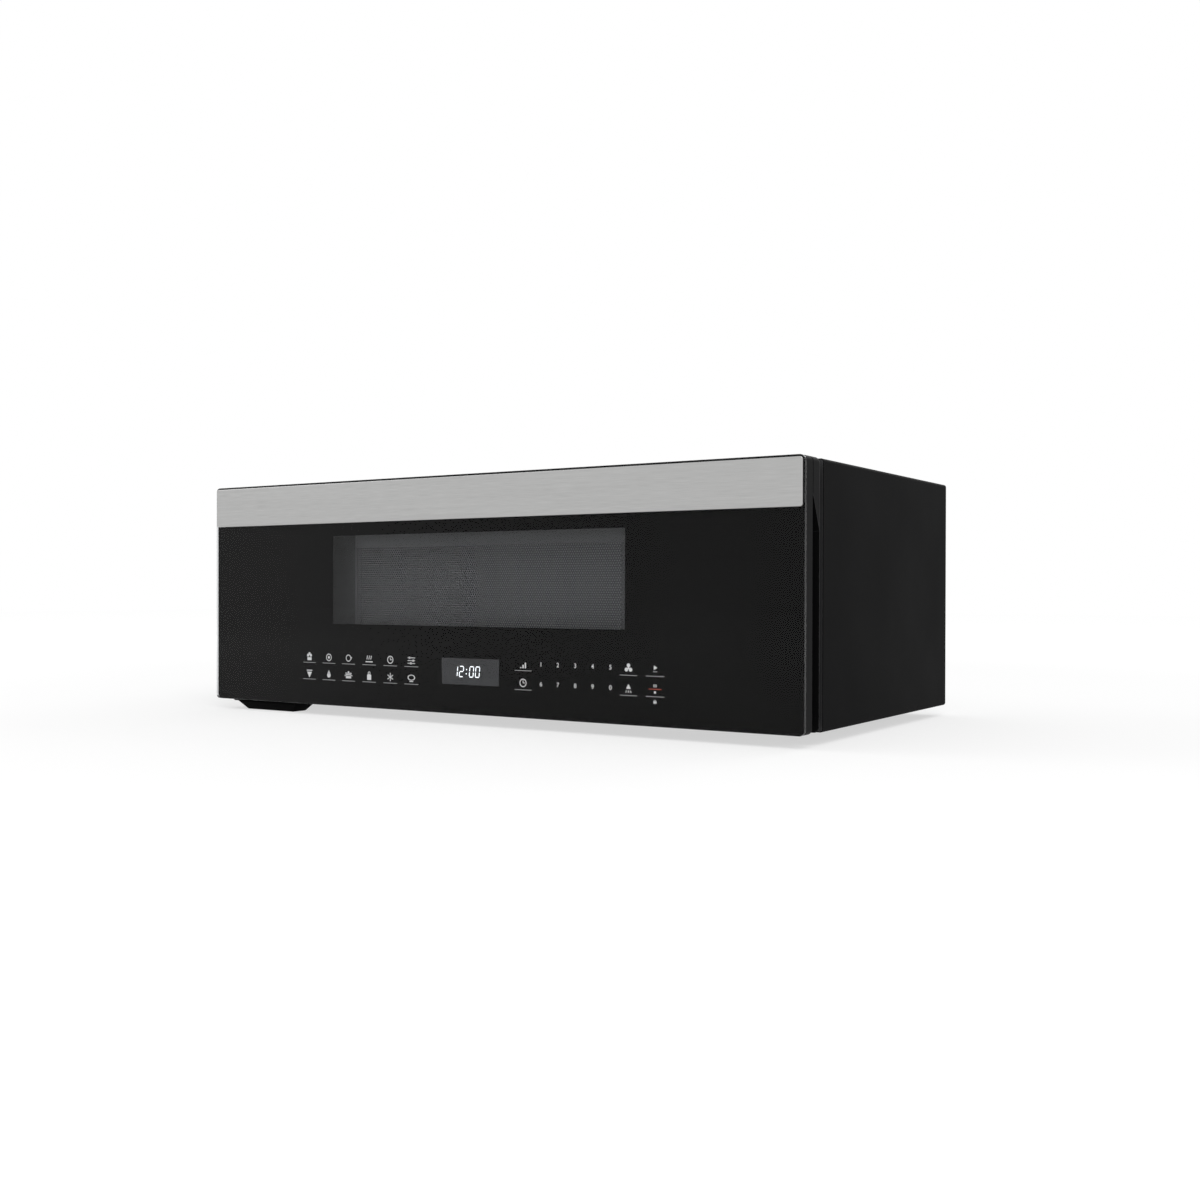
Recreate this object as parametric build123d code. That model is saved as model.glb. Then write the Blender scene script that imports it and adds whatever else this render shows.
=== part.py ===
"""Low-profile over-the-range microwave oven, built up from its separate pieces.

Frame: X runs to the right as seen from the room, Y runs towards the wall, Z is up.
The origin is the centre of the face that lies on the wall, at the door's mid height,
so the room is on the -Y side. All lengths are millimetres.
"""

from build123d import *
import math
import os

# ------------------------------------------------------------------ overall sizes
DOOR_WIDTH = 758.8
DOOR_HEIGHT = 250.0
UNIT_DEPTH = 400.0  # wall to the front of the steel strip
CASE_INSET = 1.4  # the case's side stands this far inside the door's side
HINGE_GAP = 0.6  # door's bottom edge to the lower hinge plate
SHEET = 1.0  # steel sheet of the case, cavity and frame
SEAT_GAP = 0.3  # clearance between pieces that rest on each other but move
RUN_GAP = 0.05  # radial clearance of a shaft in its bore

# ------------------------------------------------------------------ door, front to back
STRIP_T = 1.2
GLASS_T = 4.0
PRINT_T = 0.2
BEZEL_DEPTH = 14.3
COVER_DEPTH = 23.5
DOOR_GAP = 4.0  # door's back to the case's front plate
DOOR_CORNER = 5.0
DOOR_EDGE = 1.2  # rounding of the mouldings' outer edges
DOOR_WALL = 2.6
BACK_CORNER = 10.0  # rounding of the hinge side's rear edge, so that it swings clear
STRIP_MARGIN_TOP = 2.0
STRIP_MARGIN_SIDE = 1.6
STRIP_HEIGHT = 44.5
STRIP_EDGE = 0.8
WINDOW_WIDTH = 383.4
WINDOW_HEIGHT = 98.2
WINDOW_TOP = 60.5  # from the door's top edge
DISPLAY_WIDTH = 75.5
DISPLAY_HEIGHT = 27.6
DISPLAY_LEFT = 344.4  # from the door's left edge
DISPLAY_TOP = 192.0
KEYS_LEFT = 138.0  # key field, from the door's left edge
KEYS_RIGHT = 626.0
KEYS_TOP = 187.0
KEYS_HEIGHT = 44.0
BOARD_T = 1.6
DISPLAY_DEPTH = 9.0

# finger pocket in the door's free side
POCKET_REACH = 28.0
POCKET_WIDTH = 15.5
POCKET_TOP = 58.0  # height where the ramp starts
RAMP_HEIGHT = 34.0
POCKET_WALL = 2.4

# microwave choke and inner window
CHOKE_LAP = 24.0  # how far the choke reaches past the cavity's mouth
CHOKE_SET = 11.0  # depth of the choke trough
CHOKE_COVER_T = 1.6
CHOKE_WALL_IN = 12.0  # from the choke's outer edge to its toothed wall
TOOTH_PITCH = 42.0
TOOTH_SLOT = 7.0
SCREEN_WIDTH = 344.8
SCREEN_HEIGHT = 104.0
SCREEN_T = 0.6
SCREEN_LAP = 8.0
INNER_PANE_T = 2.0

# hinge
DOOR_SWING = 105.0  # degrees
PIN_R = 3.0
PIN_SIDE = 16.0  # pin axis from the door's side
PIN_FRONT = 20.0  # pin axis behind the glass front
PIN_LENGTH = 12.0
BUSH_T = 2.0
BOSS_T = 3.0
HINGE_T = 2.5
HINGE_ARM = 16.0
HINGE_LEG = 46.0
LOWER_HINGE_LENGTH = 104.0
LOWER_HINGE_BACK = 38.0
HINGE_COVER_TOP = 122.0
HINGE_COVER_BOTTOM = 90.0
HINGE_COVER_HEIGHT = 9.0
HINGE_COVER_LEFT = 11.4  # from the door's side
HINGE_COVER_SHIFT = 4.6  # how much steeper its right end is than its left
HINGE_COVER_FRONT = 15.0  # behind the glass front
HINGE_COVER_WALL = 2.0

# latch
LATCH_X = 50.0  # latch bar from the door's free side
LATCH_T = 4.0
LATCH_BAR = 9.0
LATCH_SPAN = 112.0  # distance between the two hooks
LATCH_MID = -5.0
LATCH_LIFT = 4.0
HOOK_REACH = 19.0
HOOK_HEIGHT = 9.0
HOOK_NOSE = 3.5
HOOK_GAP = 2.4
LATCH_SLOT_WIDTH = 26.0  # slots in the front plate
LATCH_SLOT_HEIGHT = 36.0
BRACKET_WALL = 2.5
SPRING_HEIGHT = 26.0
SPRING_R = 3.4
SPRING_WIRE = 0.5  # the wire's radius
SPRING_TURNS = 6

# ------------------------------------------------------------------ case and cavity
PLATE_T = 2.0  # wall plate
PLATE_SIDE = 36.0  # wall plate's edge from the case's side
PLATE_HEIGHT = 190.0
PLATE_DROP = 22.0
STUD_PITCH = 406.4
WALL_HOLE_RISE = 100.0
WALL_HOLE_R = 3.6
HEAD_R = 10.0
TAB_WIDTH = 46.0
TAB_SPAN = 520.0
TAB_RISE = 12.0
TAB_GAP = 0.4
PLATE_CORNER = 6.0
PLATE_BAND = 30.0  # material left between the wall plate's cut-outs
PLATE_CUTS = 2  # cut-outs each side of the middle
PLATE_CUT_WIDTH = 64.0
PLATE_CUT_HEIGHT = 100.0
REAR_SLOTS = 5
REAR_SLOT_PITCH = 18.0
REAR_SLOT_LENGTH = 12.0
REAR_SLOT_WIDTH = 4.0
REAR_SLOT_Z = 108.0
CASE_BEND = 3.0
CASE_LIP = 16.0
BAY_WIDTH = 101.0  # machine bay each side of the cavity
PLENUM = 47.0  # air space over the cavity
UNDERFLOOR = 38.0  # space under the cavity
REAR_SPACE = 18.0
CAVITY_CORNER = 12.0
LAMP_ROWS = 3
LAMP_HOLE = 3.0
LAMP_HOLE_PITCH = 6.0
LAMP_Z = 40.0
STEAM_SLOTS = 4
STEAM_SLOT_WIDTH = 5.0
STEAM_SLOT_LENGTH = 24.0
STEAM_SLOT_BACK = 43.0  # in front of the cavity's back wall
FRAME_LIP = 12.0
VENT_HEIGHT = 26.0
VENT_WIDTH = 640.0
VENT_SETBACK = 22.0  # how far the roof's front edge stands back over the vent
GRILLE_DEPTH = 8.0
GRILLE_WALL = 2.0
SLAT_T = 1.6
SLATS = 3
SLAT_TILT = 35.0
RIBS = 7
FILTER_T = 12.0
FILTER_SIDE = 120.0
FILTER_CELLS = 16
BAY_MOUTH = 40.0  # opening over the right bay for its cooling air
BAY_MOUTH_WIDTH = 76.0
BAY_MOUTH_BACK = 92.0  # behind the front plate
TOP_BOLT_SPAN = 622.3
TOP_BOLT_BACK = 236.0  # from the wall
TOP_BOLT_R = 3.5
NUT_R = 6.5
NUT_T = 5.0
NUT_BORE = 3.3
EXHAUST_WIDTH = 254.0
EXHAUST_DEPTH = 82.6
EXHAUST_BACK = 24.0
EXHAUST_LAP = 10.0
CORD_X = 46.0  # cord outlet from the case's right side
CORD_BACK = 44.0
CORD_R = 5.0
BUSHING_T = 2.5
BUSHING_FLANGE = 3.0
BUSHING_DEPTH = 7.0

# underside
GREASE_WIDTH = 214.0
GREASE_DEPTH = 132.0
GREASE_T = 8.0
GREASE_IN = 62.0  # inner end from the centre
GREASE_BACK = 92.0
GREASE_FRAME = 9.0
GREASE_PULL_R = 7.0
LIP = 5.0
LENS_WIDTH = 96.0
LENS_DEPTH = 46.0
LENS_X = 190.0
LENS_FRONT = 30.0
LENS_T = 3.0
LENS_FLANGE = 2.5
LAMP_T = 9.0
FIN_PITCH = 4.0

# turntable
TRAY_R = 152.0
TRAY_T = 4.5
TRAY_RIM = 9.0
RING_R = 88.0
RING_WIDTH = 8.0
RING_T = 6.5
ROLLERS = 3
ROLLER_R = 8.5
ROLLER_WIDTH = 8.0
ROLLER_AT = 102.0
AXLE_R = 2.0
AXLE_STOP = 1.0  # how far an axle's stop and shoulder stand proud of it
MOTOR_R = 25.0
MOTOR_T = 15.0
MOTOR_CHAMFER = 1.5
SHAFT_R = 3.5
COUPLER_R = 15.0
COUPLER_T = 6.0
LOBE_T = 4.0
LOBE_R = 4.5
SHAFT_HOLE_GAP = 1.5

# vent blower, in the left bay
BLOWER_SIDE_GAP = 2.0
BLOWER_WALL = 1.6
WHEEL_R = 37.0
WHEEL_WIDTH = 58.0
WHEEL_GAP = 3.0
BLADES = 18
BLADE_LENGTH = 9.0
BLADE_BOW = 6.75
BLADE_T = 1.2
WHEEL_RING_T = 3.0
VENT_MOTOR_R = 30.0
VENT_MOTOR_LENGTH = 56.0
BLOWER_SHAFT_R = 4.0
BLOWER_BACK = 70.0
OUTLET_WIDTH = 40.0
OUTLET_RISE = 12.0
INLET_R = 27.0

# microwave generator, in the right bay
GUIDE_DEPTH = 24.0
GUIDE_LENGTH = 92.0
GUIDE_HEIGHT = 104.0
GUIDE_BACK = 86.0
GUIDE_Z = -2.0
FEED_WIDTH = 76.0
FEED_HEIGHT = 52.0
MICA_T = 0.8
MICA_LAP = 12.0
YOKE_WIDTH = 84.0
YOKE_HEIGHT = 62.0
YOKE_LENGTH = 46.0
YOKE_T = 2.0
FINS = 6
FIN_T = 1.0
ANODE_R = 20.0
ANTENNA_R = 7.5
ANTENNA_LENGTH = 18.0
FILTER_BOX = 16.0
FAN_FRAME = 88.0
FAN_DEPTH = 24.0
FAN_HUB_R = 14.0
FAN_BLADES = 5
FAN_TIP_GAP = 1.5
FAN_CORNER = 6.0
FAN_STRUT = 4.0
FAN_PITCH = 38.0
FAN_CLEAR = 12.0  # space behind the fan
CORE_WIDTH = 76.0
CORE_DEPTH = 66.0
CORE_HEIGHT = 58.0
COIL_OUT = 9.0
WINDING = 13.0  # thickness of a winding in its window
PRIMARY_HEIGHT = 12.4
COIL_GAP = 2.3  # insulation between the two coils
CORE_GAP = 34.9  # between the latch bracket and the coils
CAN_WIDTH = 50.0
CAN_T = 32.0
CAN_LENGTH = 92.0
CAN_Z = -6.0
CAN_GAP = 35.8  # in front of the waveguide
DIODE_R = 4.0
DIODE_LENGTH = 20.0
STANDOFF = 8.0
POWER_BOARD_LENGTH = 108.0
POWER_BOARD_HEIGHT = 96.0
RELAY = 16.0
RELAYS = 4
RELAY_PITCH = 24.0
FILTER_BOARD = 52.0
TOROID_R = 14.0
TOROID_T = 12.0
CUTOUT_R = 9.0
CUTOUT_T = 6.0
CUTOUT_CAN_R = 7.2
LAMP_R = 14.0
SWITCH_DEPTH = 22.0
SWITCH_WIDTH = 9.0
SWITCH_HEIGHT = 16.0
SWITCH_LEG = 10.0
SCREW_R = 3.6
SCREW_HEAD = 2.0
SCREW_CROWN = 0.8

# ------------------------------------------------------------------ planes worked out
half_w = DOOR_WIDTH / 2
half_h = DOOR_HEIGHT / 2
glass_front = -UNIT_DEPTH + STRIP_T
glass_back = glass_front + GLASS_T
print_back = glass_back + PRINT_T
cover_front = print_back + BEZEL_DEPTH
door_back = cover_front + COVER_DEPTH
case_front = door_back + DOOR_GAP
rear_back = -PLATE_T
rear_front = rear_back - SHEET
case_x = half_w - CASE_INSET
inner_x = case_x - SHEET
case_top = half_h
case_bottom = -half_h - HINGE_GAP
inner_top = case_top - SHEET
pan_bottom = case_bottom + SHEET  # the base pan lies on the case's lower lips
pan_top = pan_bottom + SHEET
frame_back = case_front + SHEET
cavity_x = inner_x - BAY_WIDTH - SHEET  # inside half width
cavity_top = inner_top - PLENUM - 2 * SHEET  # inside, under the cavity roof and the plenum floor
cavity_floor = pan_top + UNDERFLOOR + SHEET
cavity_back = rear_front - REAR_SPACE - SHEET
plenum_floor_z = cavity_top + SHEET
vent_bottom = inner_top - VENT_HEIGHT
pin_x = -half_w + PIN_SIDE
pin_y = glass_front + PIN_FRONT
bay_mid = inner_x - BAY_WIDTH / 2
turntable_y = (frame_back + cavity_back) / 2
latch_x = half_w - LATCH_X
window_z = half_h - WINDOW_TOP - WINDOW_HEIGHT / 2
mouth_mid = (cavity_top + cavity_floor) / 2
mouth_w = 2 * cavity_x
mouth_h = cavity_top - cavity_floor


# ------------------------------------------------------------------ helpers
def block(x0, x1, y0, y1, z0, z1):
    """A rectangular solid between two opposite corners."""
    middle = Pos((x0 + x1) / 2, (y0 + y1) / 2, (z0 + z1) / 2)
    return middle * Box(x1 - x0, y1 - y0, z1 - z0)


def slab(sketch, front, back):
    """Extrudes a sketch drawn in X and Z from one Y plane to another."""
    return extrude(Plane.XZ.offset(-back) * sketch, amount=back - front)


def layer(sketch, low, high):
    """Extrudes a sketch drawn in X and Y from one height to another."""
    return extrude(Plane.XY.offset(low) * sketch, amount=high - low)


def run(sketch, left, right):
    """Extrudes a sketch drawn in Y and Z from one X plane to another."""
    return extrude(Plane.YZ.offset(left) * sketch, amount=right - left)


def window(width, height, x=0.0, z=0.0, radius=0.0):
    """A rectangle in X and Z, rounded where a radius is given."""
    shape = RectangleRounded(width, height, radius) if radius else Rectangle(width, height)
    return Pos(x, z) * shape


def disc(radius, x, y, low, high):
    """An upright cylinder between two heights."""
    return layer(Pos(x, y) * Circle(radius), low, high)


def rod_y(radius, x, z, front, back):
    """A cylinder along Y between two planes."""
    return slab(Pos(x, z) * Circle(radius), front, back)


def rod_x(radius, y, z, left, right):
    """A cylinder along X between two planes."""
    return run(Pos(y, z) * Circle(radius), left, right)


# ------------------------------------------------------------------ door
def door_glass():
    """The toughened front pane, its edges ground to a small chamfer."""
    pane = slab(window(DOOR_WIDTH, DOOR_HEIGHT, radius=DOOR_CORNER), glass_front, glass_back)
    return chamfer(pane.faces().sort_by(Axis.Y)[0].edges(), GLASS_T / 8)


def trim_strip():
    """The brushed steel strip bonded to the top of the glass."""
    width = DOOR_WIDTH - 2 * STRIP_MARGIN_SIDE
    mid = half_h - STRIP_MARGIN_TOP - STRIP_HEIGHT / 2
    strip = slab(window(width, STRIP_HEIGHT, z=mid, radius=DOOR_CORNER / 2), -UNIT_DEPTH, glass_front)
    return fillet(strip.faces().sort_by(Axis.Y)[0].edges(), STRIP_EDGE)


def display_place():
    """Centre of the display window in X and Z."""
    x = -half_w + DISPLAY_LEFT + DISPLAY_WIDTH / 2
    z = half_h - DISPLAY_TOP - DISPLAY_HEIGHT / 2
    return x, z


def glass_print():
    """The opaque print on the pane's back, clear at the window and the display."""
    x, z = display_place()
    sheet = window(DOOR_WIDTH - 2 * GLASS_T / 8, DOOR_HEIGHT - 2 * GLASS_T / 8, radius=DOOR_CORNER)
    sheet -= window(WINDOW_WIDTH, WINDOW_HEIGHT, z=window_z)
    sheet -= window(DISPLAY_WIDTH, DISPLAY_HEIGHT, x, z)
    return slab(sheet, glass_back, print_back)


def door_bezel():
    """The moulded frame that carries the glass, closed behind the finger pocket."""
    outline = window(DOOR_WIDTH, DOOR_HEIGHT, radius=DOOR_CORNER)
    body = slab(outline, print_back, cover_front)
    body = fillet(body.faces().sort_by(Axis.Y)[-1].edges(), DOOR_EDGE)
    wide = DOOR_WIDTH - 2 * DOOR_WALL
    tall = DOOR_HEIGHT - 2 * DOOR_WALL
    left = -half_w + DOOR_WALL
    right = half_w - POCKET_REACH - POCKET_WALL
    body -= slab(window(right - left, tall, (left + right) / 2), print_back, cover_front)
    pocket_front = cover_front - POCKET_WALL
    body -= slab(window(wide, tall), print_back, pocket_front)
    body -= disc(boss_radius() + SEAT_GAP, pin_x, pin_y, -half_h, half_h - DOOR_WALL)
    return body - hinge_slot(print_back, cover_front)


def boss_radius():
    """Outer radius of a hinge boss, round its bush."""
    return PIN_R + RUN_GAP + BUSH_T + BOSS_T


def hinge_slot(front, back):
    """The slot that the upper hinge arm sweeps as the door turns round its pin."""
    top = half_h - DOOR_WALL
    low = top - HINGE_T - 2 * HINGE_GAP
    past = math.radians(DOOR_SWING - 90)
    reach = PIN_SIDE * math.tan(past) + HINGE_ARM / 2 / math.cos(past) + HINGE_GAP
    start = max(front, pin_y - reach)
    return block(-half_w - DOOR_EDGE, pin_x + HINGE_ARM, start, back + DOOR_EDGE, low, top)


def door_rear_cover():
    """The moulded back of the door, with the finger pocket and the hinge bosses."""
    outline = window(DOOR_WIDTH, DOOR_HEIGHT, radius=DOOR_CORNER)
    body = slab(outline, cover_front, door_back)
    body = fillet(body.edges().filter_by(Axis.Z).group_by(Axis.X)[0].sort_by(Axis.Y)[-1:], BACK_CORNER)
    front_edges = body.faces().sort_by(Axis.Y)[0].edges()
    body = fillet(front_edges, DOOR_EDGE)
    left = -half_w + DOOR_WALL
    right = half_w - POCKET_REACH - POCKET_WALL
    tall = DOOR_HEIGHT - 2 * DOOR_WALL
    hollow = slab(window(right - left, tall, (left + right) / 2), cover_front, door_back - DOOR_WALL)
    corner = hollow.edges().filter_by(Axis.Z).group_by(Axis.X)[0].sort_by(Axis.Y)[-1:]
    hollow = fillet(corner, BACK_CORNER - DOOR_WALL)
    body -= hollow
    body -= slab(choke_outline(SEAT_GAP), cover_front, door_back)
    body += hinge_bosses()
    body -= pocket()
    body -= hinge_slot(cover_front, door_back)
    body -= pin_hole(PIN_R + RUN_GAP + BUSH_T)
    body += latch_channel()
    for x, z in door_screw_places():
        body -= rod_y(SCREW_R + SEAT_GAP, x, z, door_back - SCREW_HEAD, door_back)
    for z in hook_heights():
        body -= hook_window(z, door_back - DOOR_WALL, door_back)
    return body


def latch_channel():
    """Two ribs that guide the latch bar between its hooks, and the seat of its spring."""
    low, high = hook_heights()
    back = door_back - DOOR_WALL
    front = back - SEAT_GAP - LATCH_BAR
    half = LATCH_T / 2 + SEAT_GAP
    reach = (high - low) / 2 - HOOK_HEIGHT * 2
    mid = (low + high) / 2
    ribs = block(latch_x - half - SHEET, latch_x - half, front, back, mid - reach, mid + reach)
    ribs += block(latch_x + half, latch_x + half + SHEET, front, back, mid - reach, mid + reach)
    seat_z = high + HOOK_HEIGHT + SPRING_HEIGHT + 2 * SPRING_WIRE + SEAT_GAP
    seat = block(latch_x - LATCH_T, latch_x + LATCH_T, front, back, seat_z, seat_z + DOOR_WALL)
    return ribs + seat


def pocket():
    """The finger pocket: open to the side and below, with a ramp at its top."""
    inner = half_w - POCKET_REACH
    deep = cover_front + POCKET_WIDTH
    profile = Polyline(
        (cover_front, -half_h),
        (deep, -half_h),
        (deep, POCKET_TOP),
        (cover_front, POCKET_TOP + RAMP_HEIGHT),
        close=True,
    )
    return run(make_face(profile), inner, half_w)


def hinge_bosses():
    """The two bosses that hold the hinge bushes, tied to the side wall."""
    top = half_h - DOOR_WALL - HINGE_T - 2 * HINGE_GAP
    upper = disc(boss_radius(), pin_x, pin_y, top - PIN_LENGTH - BOSS_T, top)
    lower = disc(boss_radius(), pin_x, pin_y, -half_h, -half_h + PIN_LENGTH + BOSS_T)
    left = -half_w + DOOR_WALL / 2
    back = cover_front + 2 * BOSS_T
    web = block(left, pin_x, cover_front, back, top - PIN_LENGTH - BOSS_T, top)
    foot = block(left, pin_x, cover_front, back, -half_h, -half_h + PIN_LENGTH)
    return upper + lower + web + foot


def pin_hole(radius):
    """The bores for the hinge bushes at the door's top and bottom."""
    top = half_h - DOOR_WALL - HINGE_T - 2 * HINGE_GAP
    upper = disc(radius, pin_x, pin_y, top - PIN_LENGTH, top)
    return upper + disc(radius, pin_x, pin_y, -half_h, -half_h + PIN_LENGTH)


def hinge_bushes():
    """The two plain bushes pressed into the door."""
    return pin_hole(PIN_R + RUN_GAP + BUSH_T) - pin_hole(PIN_R + RUN_GAP)


def choke_outline(gap=0.0):
    """The outline of the choke round the cavity's mouth."""
    lap = 2 * CHOKE_LAP + 2 * gap
    return window(mouth_w + lap, mouth_h + lap, z=mouth_mid, radius=CHOKE_LAP / 4 + gap)


def choke_panel():
    """The pressed inner panel of the door: a trough with a toothed wall round the window."""
    trough_front = door_back - CHOKE_COVER_T - CHOKE_SET
    panel = slab(choke_outline(), trough_front - SHEET, trough_front)
    lap = 2 * CHOKE_LAP - 2 * SHEET
    rim = choke_outline() - window(mouth_w + lap, mouth_h + lap, z=mouth_mid, radius=CHOKE_LAP / 4)
    panel += slab(rim, trough_front, door_back - CHOKE_COVER_T)
    wide = mouth_w + 2 * CHOKE_LAP - 2 * CHOKE_WALL_IN
    tall = mouth_h + 2 * CHOKE_LAP - 2 * CHOKE_WALL_IN
    wall = window(wide, tall, z=mouth_mid) - window(wide - 2 * SHEET, tall - 2 * SHEET, z=mouth_mid)
    teeth = slab(wall, trough_front, door_back - CHOKE_COVER_T - 2 * SHEET)
    across = int(wide / 2 / TOOTH_PITCH)
    for n in range(-across, across + 1):
        x = n * TOOTH_PITCH
        teeth -= block(x - TOOTH_SLOT / 2, x + TOOTH_SLOT / 2, trough_front, door_back, -half_h, half_h)
    panel += teeth
    return panel - slab(window(SCREEN_WIDTH, SCREEN_HEIGHT, z=window_z), trough_front - SHEET, trough_front)


def window_screen():
    """The perforated screen welded in front of the panel's window."""
    back = door_back - CHOKE_COVER_T - CHOKE_SET - SHEET
    wide = SCREEN_WIDTH + 2 * SCREEN_LAP
    return slab(window(wide, SCREEN_HEIGHT + 2 * SCREEN_LAP, z=window_z), back - SCREEN_T, back)


def choke_cover():
    """The moulded ring that closes the choke trough against splashes."""
    ring = choke_outline() - inner_pane_outline()
    return slab(ring, door_back - CHOKE_COVER_T, door_back)


def inner_pane_outline():
    """The outline of the pane that faces the cavity."""
    less = 2 * CHOKE_WALL_IN + 2 * SHEET
    wide = mouth_w + 2 * CHOKE_LAP - less
    tall = mouth_h + 2 * CHOKE_LAP - less
    return window(wide, tall, z=mouth_mid, radius=CHOKE_LAP / 4)


def inner_pane():
    """The clear pane inside the choke ring."""
    return slab(inner_pane_outline(), door_back - INNER_PANE_T, door_back)


def touch_board():
    """The touch-key board behind the print, cut out round the display."""
    x, z = display_place()
    left = -half_w + KEYS_LEFT
    right = -half_w + KEYS_RIGHT
    mid = half_h - KEYS_TOP - KEYS_HEIGHT / 2
    board = window(right - left, KEYS_HEIGHT, (left + right) / 2, mid)
    gap = 2 * SEAT_GAP
    board -= window(DISPLAY_WIDTH + gap, DISPLAY_HEIGHT + gap, x, z)
    return slab(board, print_back, print_back + BOARD_T)


def display_module():
    """The clock display, a stepped housing that looks out through the glass."""
    x, z = display_place()
    front = slab(window(DISPLAY_WIDTH, DISPLAY_HEIGHT, x, z), print_back, print_back + DISPLAY_DEPTH)
    step = slab(
        window(DISPLAY_WIDTH + 8 * BOARD_T, DISPLAY_HEIGHT + 4 * BOARD_T, x, z),
        print_back + BOARD_T,
        print_back + DISPLAY_DEPTH / 2,
    )
    return front + step


def hook_heights():
    """Centre heights of the lower and the upper latch hook."""
    return LATCH_MID - LATCH_SPAN / 2, LATCH_MID + LATCH_SPAN / 2


def hook_window(z, front, back):
    """A slot that a latch hook passes through, tall enough for its lift."""
    side = LATCH_T / 2 + HOOK_GAP
    low = z - HOOK_HEIGHT / 2 - HOOK_NOSE - HOOK_GAP
    high = z + HOOK_HEIGHT / 2 + LATCH_LIFT + HOOK_GAP
    return block(latch_x - side, latch_x + side, front, back, low, high)


def latch_slot(z, front, back):
    """A slot in the case's front plate, round the way that a hook swings in by."""
    mid = z + (LATCH_LIFT - HOOK_NOSE) / 2
    half = LATCH_SLOT_WIDTH / 2
    tall = LATCH_SLOT_HEIGHT / 2
    return block(latch_x - half, latch_x + half, front, back, mid - tall, mid + tall)


def door_latch():
    """The sliding latch bar with its two hooks, each nose ramped on both flanks."""
    bar_back = door_back - DOOR_WALL - SEAT_GAP
    low, high = hook_heights()
    bar = block(
        latch_x - LATCH_T / 2,
        latch_x + LATCH_T / 2,
        bar_back - LATCH_BAR,
        bar_back,
        low - HOOK_HEIGHT,
        high + HOOK_HEIGHT,
    )
    tip = case_front + HOOK_REACH
    for z in hook_heights():
        foot = z - HOOK_HEIGHT / 2
        profile = Polyline(
            (bar_back - LATCH_BAR / 2, foot),
            (tip - 3 * HOOK_NOSE, foot),
            (tip - 2 * HOOK_NOSE, foot - HOOK_NOSE),
            (tip - HOOK_NOSE, foot - HOOK_NOSE),
            (tip, foot + HOOK_NOSE),
            (tip - HOOK_NOSE, z + HOOK_HEIGHT / 2),
            (bar_back - LATCH_BAR / 2, z + HOOK_HEIGHT / 2),
            close=True,
        )
        bar += run(make_face(profile), latch_x - LATCH_T / 2, latch_x + LATCH_T / 2)
    return bar


def latch_spring():
    """The return spring over the latch bar, one unbroken coil."""
    low = hook_heights()[1] + HOOK_HEIGHT
    mid_y = door_back - DOOR_WALL - SEAT_GAP - LATCH_BAR / 2
    path = Helix(pitch=SPRING_HEIGHT / SPRING_TURNS, height=SPRING_HEIGHT, radius=SPRING_R)
    start = Plane(path @ 0, z_dir=path % 0)
    coil = sweep(start * Circle(SPRING_WIRE), path=path)
    return Pos(latch_x, mid_y, low + SPRING_WIRE) * coil


# ------------------------------------------------------------------ hinges
def arm_level():
    """Underside of the upper hinge arm, in the middle of the door's slot."""
    return half_h - DOOR_WALL - HINGE_GAP - HINGE_T


def upper_hinge():
    """The upper hinge: an arm with its pin, and a leg screwed to the case's front plate."""
    low = arm_level()
    leg_front = case_front - HINGE_T
    leg_left = pin_x + HINGE_ARM / 2 + SEAT_GAP * 5
    leg_right = leg_left + HINGE_ARM * 1.5
    arm = disc(HINGE_ARM / 2, pin_x, pin_y, low, low + HINGE_T)
    arm += block(pin_x - HINGE_ARM / 2, pin_x + HINGE_ARM / 2, pin_y, case_front, low, low + HINGE_T)
    arm += block(pin_x, leg_right, leg_front, case_front, low, low + HINGE_T)
    leg = block(leg_left, leg_right, leg_front, case_front, low + HINGE_T - HINGE_LEG, low + HINGE_T)
    pin = disc(PIN_R, pin_x, pin_y, low - PIN_LENGTH + HINGE_GAP, low)
    return arm + leg + pin


def lower_hinge():
    """The lower hinge: a plate under the case that reaches forward to its pin."""
    low = case_bottom - HINGE_T
    ear = PIN_R + BUSH_T
    left = pin_x - ear
    right = left + LOWER_HINGE_LENGTH
    plate = block(left, right, pin_y, case_front + LOWER_HINGE_BACK, low, case_bottom)
    plate += disc(ear, pin_x, pin_y, low, case_bottom)
    plate += block(pin_x, right, pin_y - ear, pin_y, low, case_bottom)
    pin = disc(PIN_R, pin_x, pin_y, low, -half_h + PIN_LENGTH - 2 * HINGE_GAP)
    return plate + pin


def hinge_cover():
    """The moulded cover under the lower hinge, wider above than below."""
    high = case_bottom - SEAT_GAP
    low = case_bottom - HINGE_T - HINGE_COVER_HEIGHT
    left = -half_w + HINGE_COVER_LEFT
    right = left + HINGE_COVER_TOP
    inset = (HINGE_COVER_TOP - HINGE_COVER_BOTTOM) / 2
    front = glass_front + HINGE_COVER_FRONT
    back = case_front + LOWER_HINGE_BACK
    profile = Polyline(
        (left, high),
        (right, high),
        (right - inset + HINGE_COVER_SHIFT, low),
        (left + inset + HINGE_COVER_SHIFT, low),
        close=True,
    )
    cover = slab(make_face(profile), front, back)
    cover = fillet(cover.faces().sort_by(Axis.Z)[0].edges(), HINGE_COVER_WALL / 2)
    ear = PIN_R + BUSH_T + SEAT_GAP
    seat_low = case_bottom - HINGE_T - SEAT_GAP
    seat_right = pin_x - ear + LOWER_HINGE_LENGTH + 2 * SEAT_GAP
    seat = block(left - ear, seat_right, pin_y - ear, back, seat_low, high)
    hollow = block(
        left + inset + HINGE_COVER_SHIFT + HINGE_COVER_WALL,
        right - inset - 2 * HINGE_COVER_WALL,
        front + HINGE_COVER_WALL,
        back - HINGE_COVER_WALL,
        low + HINGE_COVER_WALL,
        seat_low,
    )
    return cover - seat - hollow


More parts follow.
